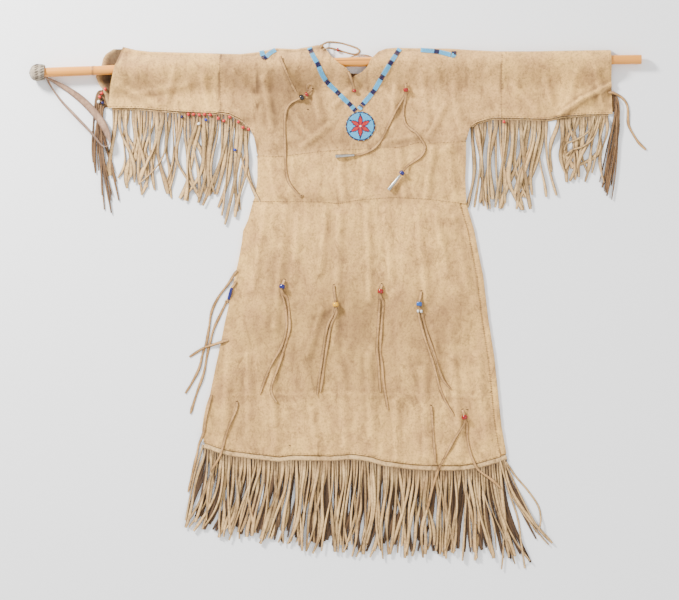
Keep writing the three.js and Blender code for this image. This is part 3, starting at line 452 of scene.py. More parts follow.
def panel(node_name, grid, hide, slot, spec):
    bpy.ops.mesh.primitive_grid_add(x_subdivisions=grid[0], y_subdivisions=grid[1], size=1)
    piece = bpy.context.object
    piece.name = node_name.replace("welt_right", "welt") + "_hide"
    points = [panel_point(spec, v.co.x + 0.5, v.co.y + 0.5) for v in piece.data.vertices]
    heights = [point.z for point in points]
    # A panel may carry painted light and shade as a factor on its tone
    light_and_shade = spec.get("light_and_shade", lambda x, y: 1.0)
    tones = []
    for i, (vertex, point) in enumerate(zip(piece.data.vertices, points)):
        dip = hollow(heights, i, grid[0])
        tone = tone_of(point.x, point.y) * light_and_shade(point.x, point.y)
        # painted shade in hollows and painted highlight on crests
        tones.append(clamp(tone - HOLLOW_SHADE * clamp(dip) + CREST_HIGHLIGHT * clamp(-dip)))
        vertex.co = point * MM
    keep_on_points(piece, tones)
    wall = piece.modifiers.new("hide thickness", "SOLIDIFY")
    wall.thickness, wall.offset = SHEET * MM, -1
    bpy.ops.object.modifier_apply(modifier="hide thickness")
    for vertex in piece.data.vertices:
        vertex.co.z = max(vertex.co.z, LOWEST)
    bpy.ops.object.shade_smooth_by_angle(angle=math.radians(50))
    finish_piece(piece, hides[hide], node_name, slot)
    print(piece.name, len(piece.data.polygons), "faces")
    cloth[node_name] = piece


# %% [markdown]
# The front is six panels: the yoke with the upper sleeves, two sleeve ends, the chest band and the skirt, and
# the welt on the right. The yoke's grid is the finest, because the neck opening and the pole need it.


# %% Front panels
GAP = 0.15


def seam_line(*parts):
    return sorted({row for part in parts for row in part})


def edge(rows, shift=0.0):
    return lambda at: line_at(rows, at) + shift


def upright(x):
    return lambda at: x


def welt_height(x, y):
    across = (line_at(RIGHT_EDGE, y) - x) / WELT
    return FRONT_TOP + 0.1 + 1.4 * math.sin(math.pi * clamp(across)) + 0.3 * math.sin(y * 0.21)


SLEEVE_ENDS = (SEAM_LEFT - GAP, SEAM_RIGHT + GAP)
WELT_INSET = WELT + 0.5
YOKE_ENDS = (SEAM_LEFT + GAP, SEAM_RIGHT - GAP)
YOKE_FOOT = seam_line([(YOKE_ENDS[0], 413.8)], [r for r in UNDERARM_LEFT if SEAM_LEFT < r[0] < -182],
                      YOKE_SEAM, [r for r in UNDERARM_RIGHT if 278 < r[0] < SEAM_RIGHT],
                      [(YOKE_ENDS[1], 401)])
YOKE = {"foot": edge(YOKE_FOOT), "left": upright(YOKE_ENDS[0]), "right": upright(YOKE_ENDS[1]),
        "foot_x": YOKE_ENDS, "head_x": YOKE_ENDS}
SLEEVE_LEFT = {"foot": edge(UNDERARM_LEFT), "right": upright(SLEEVE_ENDS[0]), "foot_x": (-509, SLEEVE_ENDS[0])}
SLEEVE_RIGHT = {"foot": edge(UNDERARM_RIGHT), "left": upright(SLEEVE_ENDS[1]), "right": edge(CUFF_RIGHT),
                "foot_x": (SLEEVE_ENDS[1], 600), "head_x": (SLEEVE_ENDS[1], 595)}
BAND = {"foot": edge(BAND_SEAM, GAP), "head": edge(YOKE_SEAM, -GAP), "left": edge(LEFT_EDGE),
        "right": edge(RIGHT_EDGE), "foot_x": (-190, 279), "head_x": (-181.5, 278)}
SKIRT = {"foot": edge(HEM), "head": edge(BAND_SEAM, -GAP), "left": edge(LEFT_EDGE)}
FRONT = {"height": front_height}

panel("yoke_front", (210, 84), "yoke hide", "yoke_hide", {
    **YOKE, **FRONT, "head": edge(seam_line(OVERARM_LEFT, NECK_FRONT, OVERARM_RIGHT)), "rounded": True})
panel("sleeve_left_front", (76, 56), "skirt hide", "hide", {
    **SLEEVE_LEFT, **FRONT, "head": edge(OVERARM_LEFT), "left": edge(CUFF_LEFT),
    "head_x": (-476, SLEEVE_ENDS[0]), "rounded": True})
panel("sleeve_right_front", (76, 56), "skirt hide", "hide", {
    **SLEEVE_RIGHT, **FRONT, "head": edge(OVERARM_RIGHT), "rounded": True})
panel("band_front", (140, 36), "skirt hide", "hide", {**BAND, **FRONT})
panel("skirt_front", (180, 150), "skirt hide", "hide", {
    **SKIRT, **FRONT, "right": edge(RIGHT_EDGE, -WELT_INSET), "foot_x": (-298, 367 - WELT_INSET),
    "head_x": (-190, 279 - WELT_INSET)})
panel("side_welt_right", (8, 150), "skirt hide", "hide", {
    "foot": upright(-338), "head": upright(210), "left": edge(RIGHT_EDGE, -WELT), "right": edge(RIGHT_EDGE),
    "foot_x": (353, 367), "head_x": (265.3, 279.3), "height": welt_height})

# %% [markdown]
# The back is the same garment, flat on the table. It shows inside the neck, past the left cuff and along the
# edges. Its left cuff is rolled up a little, where the hide has stiffened.


# %% Back panels
CUFF_ROLL = 8


def back_height(x, y):
    roll = clamp((-505 - x) / 30) * clamp((y - 425) / 30)
    return HIDE + CUFF_ROLL * roll * roll


# The rolled rim of the left back cuff is painted light, and the hide inside it is painted shade, darker over 13
# mm towards the front sleeve
def cuff_rim_light_and_shade(x, y):
    return mix(0.9, 0.16, clamp((x - line_at(CUFF_LEFT_BACK, y)) / 13))


def overarm_back(x):
    if NECK_BACK[0][0] < x < NECK_BACK[-1][0]:
        return line_at(NECK_BACK, x)
    return line_at(OVERARM_LEFT if x < 0 else OVERARM_RIGHT, x) - FOLD_INSET


BACK = {"height": back_height}
# The inside of the back is painted dark, as the shade it lies in under the front
panel("yoke_back", (150, 24), "shaded inner hide", "dark_hide", {
    **YOKE, **BACK, "head": overarm_back})
panel("sleeve_left_back", (90, 40), "fringe hide", "dark_hide", {
    **SLEEVE_LEFT, **BACK, "head": edge(OVERARM_LEFT, -FOLD_INSET), "left": edge(CUFF_LEFT_BACK),
    "head_x": (-497, SLEEVE_ENDS[0]), "light_and_shade": cuff_rim_light_and_shade})
panel("sleeve_right_back", (50, 16), "shaded inner hide", "dark_hide", {
    **SLEEVE_RIGHT, **BACK, "head": edge(OVERARM_RIGHT, -FOLD_INSET)})
panel("band_back", (80, 12), "skirt hide", "hide", {**BAND, **BACK})
panel("skirt_back", (110, 60), "skirt hide", "hide", {
    **SKIRT, **BACK, "right": edge(RIGHT_EDGE), "foot_x": (-298, 367), "head_x": (-190, 279)})

# %% [markdown]
# ## Fringe
# A maker slits one strip of hide into strands and sews its uncut edge to the garment. So each fringe here is
# a narrow strip with strands that leave it. A strand is a flat ribbon on a bent path: it starts straight,
# swings towards its tip, and lies over or under its neighbours. Mesh code suits it better than modelling by
# hand, because some hundred strands follow one rule.


# %% Ribbons
# The section of a ribbon, and its painted shade: pale on top, darker on its sides and darkest below
SECTION = ((-1, -0.6), (-0.7, -1), (0.7, -1), (1, -0.6), (0.86, 0.2), (0.4, 0.9), (-0.4, 0.9), (-0.86, 0.2))
SECTION_SHADE = (0.05, 0.05, 0.05, 0.05, 0.36, 1.0, 1.0, 0.36)


def ribbon_rings(points, widths, thickness, roll=None):
    rings = []
    for i, point in enumerate(points):
        ahead = points[min(i + 1, len(points) - 1)] - points[max(i - 1, 0)]
        forward = ahead.normalized()
        level = Vector((-forward.y, forward.x, 0)).normalized()
        turn = roll[i] if roll else 0.0
        across = level * math.cos(turn) + Vector((0, 0, math.sin(turn)))
        up = forward.cross(across).normalized()
        rings.append([point + across * a * widths[i] / 2 + up * b * thickness / 2 for a, b in SECTION])
    return rings


def tube_faces(start, rings, sides):
    faces = []
    for a in range(start, start + (rings - 1) * sides, sides):
        faces += [(a + k, a + (k + 1) % sides, a + sides + (k + 1) % sides, a + sides + k)
                  for k in range(sides)]
    last = start + (rings - 1) * sides
    faces.append(tuple(start + k for k in reversed(range(sides))))
    faces.append(tuple(last + k for k in range(sides)))
    return faces


def add_mesh(name, vertices, faces):
    data = bpy.data.meshes.new(name)
    data.from_pydata(vertices, [], faces)
    piece = add_object(name, data)
    bpy.ops.object.select_all(action="DESELECT")
    piece.select_set(True)
    bpy.context.view_layer.objects.active = piece
    return piece


def add_ribbons(name, loops, tones, hide, slot=None, node_name=None):
    vertices, faces, values = [], [], []
    for rings, tone in zip(loops, tones):
        faces += tube_faces(len(vertices), len(rings), len(SECTION))
        for i, ring in enumerate(rings):
            vertices += [p * MM for p in ring]
            values += [(tone[i] if isinstance(tone, list) else tone) * section_shade for section_shade in SECTION_SHADE]
    piece = add_mesh(name, vertices, faces)
    keep_on_points(piece, values)
    bpy.ops.object.mode_set(mode="EDIT")
    bpy.ops.mesh.select_all(action="SELECT")
    bpy.ops.mesh.normals_make_consistent(inside=False)
    bpy.ops.object.mode_set(mode="OBJECT")
    bpy.ops.object.shade_smooth_by_angle(angle=math.radians(48))
    finish_piece(piece, hides[hide], node_name, slot)
    return piece


def along_line(line, share):
    lengths = [0.0]
    for (x0, y0), (x1, y1) in zip(line, line[1:]):
        lengths.append(lengths[-1] + math.hypot(x1 - x0, y1 - y0))
    return tuple(line_at([(length, row[axis]) for length, row in zip(lengths, line)], share * lengths[-1])
                 for axis in (0, 1))


print("ribbons have", len(SECTION), "sides")

# %% [markdown]
# A strand starts on its strip and aims at a tip on the outline. Seeded draws then vary its length, bend, sway,
# twist, width, colour and curl, each within a range that is written here once. The draws keep their order.

# %% Strands
STRAND_STEPS, STRIP_STEPS = 18, 60
STRAND_THICK, STRIP_THICK = 2.2, 1.8
REACH, BEND, SWAY, WAVES, WIDTH = (0.86, 1.03), (0.2, 0.5), (0.4, 1.0), (2.4, 7.5), (0.6, 1.25)
TWIST = 1.1
PALENESS = (0.88, 0.13)
CURL_FROM = 0.55
CLUMP_WAVE, LAYER_LOSS, WAVE_RISE, WAVE_WIDTH, WAVE_TONE = 0.8, 0.55, 0.7, 0.22, 0.1
# A strand is darker at its root, as painted shade where the strands crowd
STRAND_RISE, TIP_WIDTH, ROOT_SHADE = 1.2, 0.7, 0.35
STRIP_TONE, STRIP_GAP = 0.95, 0.45
USUAL = {"out": (0, -1), "under": 0.0, "rest": 0.0, "bend": 1.0, "curl": 14, "shade": 1.0, "skip": (2, 2)}


def strand(spec, draw, share, order):
    out = Vector((*spec["out"], 0))
    root = Vector((*along_line(spec["line"], share), 0)) + out * (spec["strip"] - 1)
    tip = Vector([line_at([(r[0], r[axis]) for r in spec["tips"]], share) for axis in (1, 2)] + [0])
    reach = (tip - root) * draw.uniform(*REACH)
    reach.x += draw.gauss(0, 1) * spec["stray"] + spec["clump"] * math.sin(share * spec["count"] * CLUMP_WAVE)
    bend = root + out * reach.length * draw.uniform(*BEND) * spec["bend"]
    end = root + reach
    across = Vector((-reach.y, reach.x, 0)).normalized()
    sway = draw.uniform(*SWAY) * spec["sway"]
    phase, waves = draw.uniform(0, 6.28), draw.uniform(*WAVES)
    twist, wide = draw.uniform(-TWIST, TWIST), spec["width"] * draw.uniform(*WIDTH)
    layer = (order * 7 % 5) * spec["lift"]
    colour = clamp(draw.gauss(*PALENESS)) * spec["shade"]
    curl = draw.uniform(-1, 1) ** 3 * spec["curl"]
    points, widths, roll, tones = [], [], [], []
    for step in range(STRAND_STEPS + 1):
        t = step / STRAND_STEPS
        point = root * (1 - t) ** 2 + bend * 2 * t * (1 - t) + end * t * t
        point += across * sway * t * (math.sin(phase + waves * t) - math.sin(phase))
        point += across * curl * clamp((t - CURL_FROM) / (1 - CURL_FROM)) ** 2
        wave = math.sin(phase * 2 + waves * 1.7 * t)
        rest = mix(spec["under"], spec["rest"], clamp(t * 1.4))
        point.z = rest + STRAND_RISE + layer * clamp(t * 4) * (1 - LAYER_LOSS * t)
        point.z += WAVE_RISE * clamp(t * 3) * (1 + wave)
        points.append(point)
        tip_share = TIP_WIDTH if step == STRAND_STEPS else 1.0
        widths.append(wide * mix(0.9, 1.0, t) * (1 + WAVE_WIDTH * wave) * tip_share)
        roll.append(twist * math.sin(waves * 1.3 * t + phase) * clamp(t * 2))
        tones.append(clamp(colour * mix(ROOT_SHADE, 1.0, clamp(t * 6)) * (1 + WAVE_TONE * wave)))
    return ribbon_rings(points, widths, STRAND_THICK, roll), tones


def fringe(name, node_name, hide, slot, given):
    spec = {**USUAL, **given}
    draw = random.Random(spec["seed"])
    out, width, count = Vector((*spec["out"], 0)), spec["strip"], spec["count"]
    aside = out * (STRIP_GAP + width / 2)
    strip = [Vector((*along_line(spec["line"], i / STRIP_STEPS), spec["under"] + 1.0)) + aside
             for i in range(STRIP_STEPS + 1)]
    made = [(ribbon_rings(strip, [width] * len(strip), STRIP_THICK), min(spec["shade"], STRIP_TONE))]
    for order in range(count):
        share = (order + 0.5 + draw.uniform(-0.2, 0.2)) / count
        if not spec["skip"][0] < share < spec["skip"][1]:
            made.append(strand(spec, draw, share, order))
    piece = add_ribbons(name, *zip(*made), hide, slot, node_name)
    for vertex in piece.data.vertices:
        vertex.co.z = max(vertex.co.z, 2 * LOWEST)
    print(name, len(made) - 1, "strands")
    cloth[node_name] = piece


# %% [markdown]
# The hem has two layers of fringe, one from the front and one from the back. Each sleeve has one under the
# arm, and each cuff a short dark one. Tips are given as the share along the strip, x and y.

# %% Hem, sleeve and cuff fringes
HEM_TIPS = [(0, -342, -505), (0.08, -284, -518), (0.15, -232, -524), (0.22, -182, -532), (0.33, -100, -548),
            (0.4, -52, -552), (0.5, 18, -562), (0.6, 88, -564), (0.7, 160, -562), (0.8, 236, -570),
            (0.87, 292, -570), (0.92, 342, -575), (0.96, 392, -590), (0.98, 425, -588), (1, 455, -545)]
SLEEVE_LEFT_TIPS = [(0, -494, 262), (0.12, -463, 249), (0.25, -428, 233), (0.4, -380, 233), (0.55, -329, 213),
                    (0.65, -300, 207), (0.8, -262, 207), (0.92, -236, 170), (1, -216, 190)]
SLEEVE_RIGHT_TIPS = [(0, 294, 200), (0.17, 338, 204), (0.3, 368, 200), (0.4, 392, 203), (0.5, 422, 220),
                     (0.55, 437, 228), (0.63, 470, 268), (0.7, 494, 280), (0.8, 516, 263), (0.9, 536, 266),
                     (1, 552, 258)]
CUFF_LEFT_TIPS = [(0, -546, 279), (0.25, -527, 270), (0.4, -499, 250), (0.65, -508, 186), (0.85, -498, 228),
                  (1, -470, 204)]
CUFF_RIGHT_TIPS = [(0, 576, 250), (0.5, 588, 235), (1, 600, 222)]

SLEEVE_FRINGE = {"strip": 5, "width": 8.4, "lift": 1.9, "stray": 13, "sway": 14, "clump": 8, "curl": 40}
CUFF_FRINGE = {"strip": 6, "count": 14, "width": 4.2, "lift": 1.2, "stray": 6, "sway": 6, "clump": 2}

# The back layer of the hem fringe is dark, as painted shade under the front layer, and its shade factor darkens
# it more
fringe("hem_fringe_under", "hem_fringe_back", "cuff fringe hide", "dark_hide", {
    "line": HEM, "strip": 9, "count": 128, "width": 8.0, "lift": 0.5, "seed": 11, "stray": 7, "sway": 6,
    "clump": 3, "shade": 0.4, "tips": [(s, x * 0.985, y + 14) for s, x, y in HEM_TIPS]})
fringe("hem_fringe_upper", "hem_fringe_front", "fringe hide", "hide", {
    "line": HEM, "strip": 13, "under": 2.3, "rest": 2.0, "count": 112, "width": 7.0, "lift": 1.7,
    "seed": 12, "stray": 12, "sway": 11, "clump": 8, "curl": 24, "tips": HEM_TIPS})
fringe("sleeve_fringe_left_hide", "sleeve_fringe_left", "fringe hide", "hide", {
    **SLEEVE_FRINGE, "line": [(-500, 422)] + [r for r in UNDERARM_LEFT if -500 < r[0] < -190],
    "count": 46, "tips": SLEEVE_LEFT_TIPS, "seed": 13})
fringe("sleeve_fringe_right_hide", "sleeve_fringe_right", "fringe hide", "hide", {
    **SLEEVE_FRINGE, "line": [(290, 383)] + [r for r in UNDERARM_RIGHT if 290 < r[0] < 592] + [(592, 409)],
    "count": 48, "tips": SLEEVE_RIGHT_TIPS, "seed": 14, "skip": (0.555, 0.625)})
fringe("cuff_fringe_left_hide", "cuff_fringe_left", "cuff fringe hide", "dark_hide", {
    **CUFF_FRINGE, "line": [(-520.5, 462), (-509.5, 424)], "out": (-1, 0), "tips": CUFF_LEFT_TIPS,
    "bend": 0.3, "seed": 15})
fringe("cuff_fringe_right_hide", "cuff_fringe_right", "cuff fringe hide", "dark_hide", {
    **CUFF_FRINGE, "line": [(600.1, 414), (598.5, 452)], "out": (1, 0), "tips": CUFF_RIGHT_TIPS,
    "bend": 0.25, "seed": 16})

# %% [markdown]
# ## What lies on the cloth
# Thongs, lanes and beads must touch what is below them. A search tree over all the cloth and fringe answers
# how high the surface is at any x and y, so nothing is placed by guess.

# %% Feel the surface from above
HIGH_UP = 0.2


def search_tree(pieces):
    vertices, faces = [], []
    for piece in pieces:
        start = len(vertices)
        vertices += [v.co.copy() for v in piece.data.vertices]
        faces += [[start + i for i in face.vertices] for face in piece.data.polygons]
    return BVHTree.FromPolygons(vertices, faces)


surface = search_tree(cloth.values())


def felt(x, y, reach=0.0):
    heights = []
    for dx, dy in ((0, 0), (reach, 0), (-reach, 0), (0, reach), (0, -reach))[:5 if reach else 1]:
        hit = surface.ray_cast(Vector(((x + dx) * MM, (y + dy) * MM, HIGH_UP)), Vector((0, 0, -1)))[0]
        heights.append(hit.z / MM if hit else 0.0)
    return max(heights)


def on_surface(x, y, rise=0.0, reach=0.0):
    return Vector((x, y, felt(x, y, reach) + rise))


print("chest height", round(felt(0, 300), 1), "mm, on the pole", round(felt(-100, 519), 1), "mm")

# %% [markdown]
# ## Thongs
# The thongs are flat laces, 6 to 7 mm wide, that come out of a slit, go through a glass bead and hang loose.
# Each route is x, y and how far the lace is lifted, as where it goes through a bead. They are free to move
# on the real dress.

# %% Routes of the thongs
THONG, THONG_THICK = 6.6, 2.2
THONGS = {
    "chest_thong_left": [
        (-60, 463), (-66, 457, 3), (-72, 451.5, 4), (-77.5, 448, 4.8), (-83, 444.7, 5.4), (-88.5, 441.8, 5.2),
        (-97, 438, 1.5), (-107, 432.5), (-116.5, 419), (-120, 398), (-120, 356), (-118.6, 308), (-116, 275),
        (-108, 253), (-87, 229)],
    "chest_thong_right_long": [
        (145.8, 475), (145.7, 469, 3), (145.6, 461.3, 4.5), (145.4, 455, 4.3), (142, 446, 1.5), (136, 436),
        (118, 405), (98, 363), (86, 344), (72, 331), (51, 321, 0.4), (38, 318.6, 1.6), (32.6, 318.2, 1.9)],
    "chest_thong_right_short": [
        (146.6, 455.6, 2.6), (146, 448, 2.4), (144.5, 437), (140.5, 414), (144.5, 389), (156, 376),
        (168.5, 367), (184, 346), (188, 333), (180, 317), (160, 302), (148, 292.5, 2.5), (142.4, 286.2, 4.8),
        (137, 279, 5.2), (133.4, 274.2, 5)],
    "skirt_thong_a_1": [
        (-121, 44), (-123.4, 38, 3.8), (-126, 29.5, 5.4), (-127.6, 23.5, 5.2), (-127, 13, 1.5), (-123, 1),
        (-118, -24), (-117, -64), (-127, -101), (-152, -147), (-175, -207)],
    "skirt_thong_a_2": [
        (-127.8, 22.6, 6), (-122.8, 13, 2), (-115, 3), (-111, -24), (-110, -64), (-119.5, -101), (-133, -143),
        (-149, -190), (-147, -210), (-138, -224)],
    "skirt_thong_b_1": [
        (-12.5, 32), (-11.5, 20), (-10, 8, 0.5), (-8.9, -3, 4.6), (-8.6, -9.7, 5.4), (-8.2, -14.5, 5.2),
        (-10, -24, 1.5), (-16, -36), (-27, -60), (-37, -119), (-44.5, -174), (-49, -209)],
    "skirt_thong_b_2": [
        (-8, -16.2, 6), (-6, -24, 2), (-9, -36), (-19.5, -60), (-30, -119), (-37.5, -174), (-42, -203)],
    "skirt_thong_c_1": [
        (93.4, 34), (91.6, 27.5, 3.8), (90, 19, 5.4), (88.9, 13, 5.2), (88.3, 3, 1.5), (88.5, -8), (85, -57),
        (82.5, -108), (85.5, -138), (90, -202)],
    "skirt_thong_c_2": [
        (88.8, 12, 6), (92.5, 3, 2), (96.5, -8), (92.5, -57), (90, -108), (93.2, -138), (98.5, -190),
        (107, -242)],
    "skirt_thong_d_1": [
        (179.5, 18.5), (178.5, 10, 0.6), (176.3, 0, 4.2), (175, -8.8, 5.4), (174.2, -14, 5.2),
        (173.4, -24, 1.5), (174.5, -35), (185, -76), (202.5, -128), (213, -165), (221.5, -196), (234, -225),
        (251, -253)],
    "skirt_thong_d_2": [
        (174.2, -15.4, 6), (178, -23, 2), (182.5, -33), (192.8, -74), (211, -126), (222, -163), (232, -182),
        (245, -196)],
    "skirt_thong_e": [
        (-225, -224), (-227, -241), (-241, -274), (-250.5, -301), (-256, -322), (-264, -346), (-283, -376)],
    "skirt_thong_f": [(201, -233), (203, -250), (205.7, -286), (208, -320), (212, -357)],
    "skirt_thong_g_1": [
        (270.2, -241.5), (272.3, -248, 3.8), (274.6, -257.4, 5.4), (275.6, -263, 5.2), (274, -272, 1.6),
        (266, -285), (250, -310), (232, -345), (224, -360), (217, -373), (202, -422), (192.5, -462)],
    "skirt_thong_g_2": [
        (275.8, -264, 6), (280, -272, 2), (280.5, -284), (282, -310), (289, -340), (295, -355), (306, -374),
        (336, -396), (354, -413)],
    "side_thong_1": [
        (-224, 64), (-230, 58), (-244, 37), (-267, 4.5), (-282, -28.5), (-287, -59.5), (-292.5, -94.5),
        (-301, -119), (-309, -150), (-324.5, -182.5), (-339, -205.5)],
    "side_thong_2": [
        (-226, 40), (-232.5, 32), (-238.5, 22), (-244, 4), (-250.5, -8), (-262, -33), (-276, -62),
        (-284.5, -92), (-291, -122), (-298, -158), (-312, -200), (-328, -250)],
    "side_thong_3": [
        (-244, -88), (-254, -90.5), (-263, -93.5), (-278, -98, 1.5), (-299, -105.6, 1.5), (-314, -115),
        (-330, -125.5)],
    "corner_thong": [
        (-281, -208), (-288, -236), (-293.5, -262), (-297.5, -288), (-303.5, -305), (-309.5, -318),
        (-314, -341), (-323, -381), (-333, -422)],
    "cuff_thong": [
        (590, 456), (600, 455.5), (612, 451), (622, 444.5), (630, 434), (634, 420), (635, 391), (639, 378),
        (646, 365), (658, 346), (674, 330)],
    "neck_loop": [
        (-42, 553), (-38, 560), (-31, 565), (-20, 568), (0, 566), (16.5, 561.5), (38.5, 553.5), (44, 547),
        (38.5, 541.5), (28, 541), (5.5, 547), (-15, 553), (-26, 553.5), (-36, 549)],
    "neck_tie": [(19, 500), (22, 494), (25, 486), (28.5, 478), (31.5, 468), (33, 460), (35, 453)],
}
EXTRA_THONGS = {"shoulder_thong": [(-130, 533), (-125, 519), (-114, 494), (-103, 470), (-94, 455)]}
NARROW = {"neck_loop": (4.0, 1.8), "neck_tie": (6.4, 2.0)}
print(len(THONGS), "thongs")

# %% [markdown]
# A lace is laid like a real one: a smooth curve through its points, each point lifted on to what lies below
# it, and then slackened, so that it bridges small hollows. Its width and its tilt vary a little on the way.

# %% Lay a lace on the surface
CLEARANCE, SLACK_ROUNDS = 0.2, 3
TAPER_START, TAPER_STEP = 0.55, 0.12


def smooth_route(rows, pitch=1.0, parts=0):
    points = [Vector((*row, 0.0) if len(row) < 3 else row) for row in rows]
    fine = []
    for i in range(len(points) - 1):
        p0, p1 = points[max(i - 1, 0)], points[i]
        p2, p3 = points[i + 1], points[min(i + 2, len(points) - 1)]
        steps = parts or max(1, round((p2 - p1).length / pitch))
        for k in range(steps):
            t = k / steps
            fine.append(0.5 * (2 * p1 + (p2 - p0) * t + (2 * p0 - 5 * p1 + 4 * p2 - p3) * t * t
                               + (3 * p1 - p0 - 3 * p2 + p3) * t ** 3))
    return fine + [points[-1]]


def around(values, index, reach):
    return values[max(0, index - reach):index + reach + 1]


def lay_route(rows, width, thickness, pitch=3.5):
    points = smooth_route(rows, pitch)
    floors = [felt(p.x, p.y, width / 2) + CLEARANCE + thickness / 2 for p in points]
    wide = [max(around(floors, i, 2)) for i in range(len(floors))]
    for _ in range(SLACK_ROUNDS):
        wide = [max(floor, sum(around(wide, i, 1)) / len(around(wide, i, 1))) for i, floor in enumerate(floors)]
    for point, floor in zip(points, wide):
        point.z = floor + max(0.0, point.z)
    return points


def route_length(points):
    return sum((b - a).length for a, b in zip(points, points[1:])) * MM


def lace_widths(width, count):
    tapers = [min(1.0, TAPER_START + TAPER_STEP * (count - 1 - i)) for i in range(count)]
    return [width * (0.94 + 0.14 * math.sin(i * 0.31) + 0.04 * math.sin(i * 1.3)) * taper
            for i, taper in enumerate(tapers)]


routes, laces = {}, {}
for thong_name, rows in {**THONGS, **EXTRA_THONGS}.items():
    width, thick = NARROW.get(thong_name, (THONG, THONG_THICK))
    route = lay_route(rows, width, thick)
    turns = [0.4 * math.sin(i * 0.23 + len(thong_name)) for i in range(len(route))]
    rings = ribbon_rings(route, lace_widths(width, len(route)), thick, turns)
    tone = 0.72 + 0.04 * (len(laces) % 5)
    laces[thong_name] = add_ribbons(thong_name + "_lace", [rings], [tone], "thong hide", "thong_hide",
                                    thong_name if thong_name in THONGS else None)
    routes[thong_name] = route
    print(thong_name, round(route_length(route) * 1000), "mm")

# %% [markdown]
# ## Glass beads
# Trade beads are wound glass: short barrels with a round hole, glossy, with a deep even colour. A torus that
# is stretched along its hole has just that form. It is modelled once, and each copy has its own mesh.


# %% Glass and bead copies
GLASS_COLOURS = {"red": (150, 2, 4), "cobalt": (8, 14, 104), "yellow": (244, 178, 0), "mid_blue": (22, 84, 160),
                 "black": (26, 24, 28), "white": (236, 234, 226)}
GLASS_SHADE = 0.72
BEAD_WALL = 0.25


def glass(name, colour):
    material, tree, shader = new_material(name.replace("_", " ") + " glass")
    cloudy = cloud(tree, Vector=object_place(tree), Scale=180.0, Detail=2.0)
    darker = tuple(c * GLASS_SHADE for c in colour[:3]) + (1,)
    fill(tree, shader, {"Base Color": blend_colours(tree, cloudy, colour, darker), "Roughness": 0.16,
                        "Coat Weight": 0.25})
    return material


GLASS = {name: glass(name, srgb(*colour)) for name, colour in GLASS_COLOURS.items()}

bpy.ops.mesh.primitive_torus_add(major_radius=1 - BEAD_WALL, minor_radius=BEAD_WALL, major_segments=28,
                                 minor_segments=12)
pattern_bead = bpy.context.object
pattern_bead.name = "pattern_bead"
bpy.ops.object.shade_smooth()


def turned_to(along):
    return Vector(along).normalized().to_track_quat("Z", "Y").to_matrix()


def bead_copy(name, centre, along, radius, length):
    piece = add_object(name, pattern_bead.data.copy())
    turn = turned_to(along)
    for vertex in piece.data.vertices:
        flat = Vector((vertex.co.x * radius, vertex.co.y * radius, vertex.co.z * length / 2 / BEAD_WALL))
        vertex.co = (turn @ flat + Vector(centre)) * MM
    return piece


def nearest_on(route, x, y):
    index = min(range(1, len(route) - 1), key=lambda i: math.hypot(route[i].x - x, route[i].y - y))
    return route[index], route[index + 1] - route[index - 1]


BEADS = [
    ("chest_bead_left_red", "chest_thong_left", -72, 451.5, 5, 6, "red"),
    ("chest_bead_left_black", "chest_thong_left", -83, 444.7, 6.4, 9, "black"),
    ("chest_bead_right_red", "chest_thong_right_long", 145.6, 461.3, 5.5, 8, "red"),
    ("chest_bead_right_blue", "chest_thong_right_short", 137, 279, 6, 8, "cobalt"),
    ("skirt_bead_a", "skirt_thong_a_1", -126, 29.5, 6.4, 9, "cobalt"),
    ("skirt_bead_b", "skirt_thong_b_1", -8.6, -9.7, 6.4, 9, "yellow"),
    ("skirt_bead_c", "skirt_thong_c_1", 90, 19, 6.4, 9, "red"),
    ("skirt_bead_d", "skirt_thong_d_1", 175, -8.8, 6.4, 9, "mid_blue"),
    ("skirt_bead_g", "skirt_thong_g_1", 274.6, -257.4, 6.4, 9, "red"),
]
on_thong = {thong_name: [] for thong_name in laces}
for node_name, thong_name, x, y, radius, length, colour in BEADS:
    centre, along = nearest_on(routes[thong_name], x, y)
    made = bead_copy(node_name + "_glass", centre, along, radius, length)
    finish_piece(made, GLASS[colour], node_name, colour + "_bead")
    on_thong[thong_name].append(made)
print(len(BEADS), "large beads")

# %% [markdown]
# Two of the thongs end in rolled tin cones. A cone is an open tube with a thin wall, a lapped seam and a dull
# shine. The wall comes from Solidify, and the rim is softened by a small bevel.

# %% Tin cones
CONE_LENGTH, CONE_RADII = 41.0, (2.7, 4.5)
TIN_WALL, TIN_RIM = 0.6, 0.15
TIN, tree, shader = new_material("worn tin")
rubbed = cloud(tree, Vector=object_place(tree), Scale=240.0, Detail=4.0)
fill(tree, shader, {"Base Color": blend_colours(tree, rubbed, srgb(214, 212, 206), srgb(128, 122, 112)),
                    "Metallic": 1.0, "Roughness": 0.34})


def tin_cone(node_name, thong_name, far):
    route = routes[thong_name]
    start = route[-1] + (route[-1] - route[-2]).normalized() * 0.4
    end = on_surface(*far, 5.2, 4)
    bpy.ops.mesh.primitive_cone_add(vertices=28, radius1=CONE_RADII[0], radius2=CONE_RADII[1],
                                    depth=CONE_LENGTH, end_fill_type="NOTHING")
    piece = bpy.context.object
    piece.name = node_name + "_tin"
    piece.modifiers.new("tin", "SOLIDIFY").thickness = TIN_WALL
    rim = piece.modifiers.new("rim", "BEVEL")
    rim.width, rim.segments = TIN_RIM, 2
    for name in ("tin", "rim"):
        bpy.ops.object.modifier_apply(modifier=name)
    turn = turned_to(end - start)
    for vertex in piece.data.vertices:
        vertex.co = (turn @ (vertex.co + Vector((0, 0, CONE_LENGTH / 2))) + start) * MM
    bpy.ops.object.shade_smooth_by_angle(angle=math.radians(40))
    finish_piece(piece, TIN, node_name, "metal_cone")
    on_thong[thong_name].append(piece)


tin_cone("cone_left", "chest_thong_right_long", (-9, 315.6))
tin_cone("cone_right", "chest_thong_right_short", (107.2, 241.4))
print("two cones")

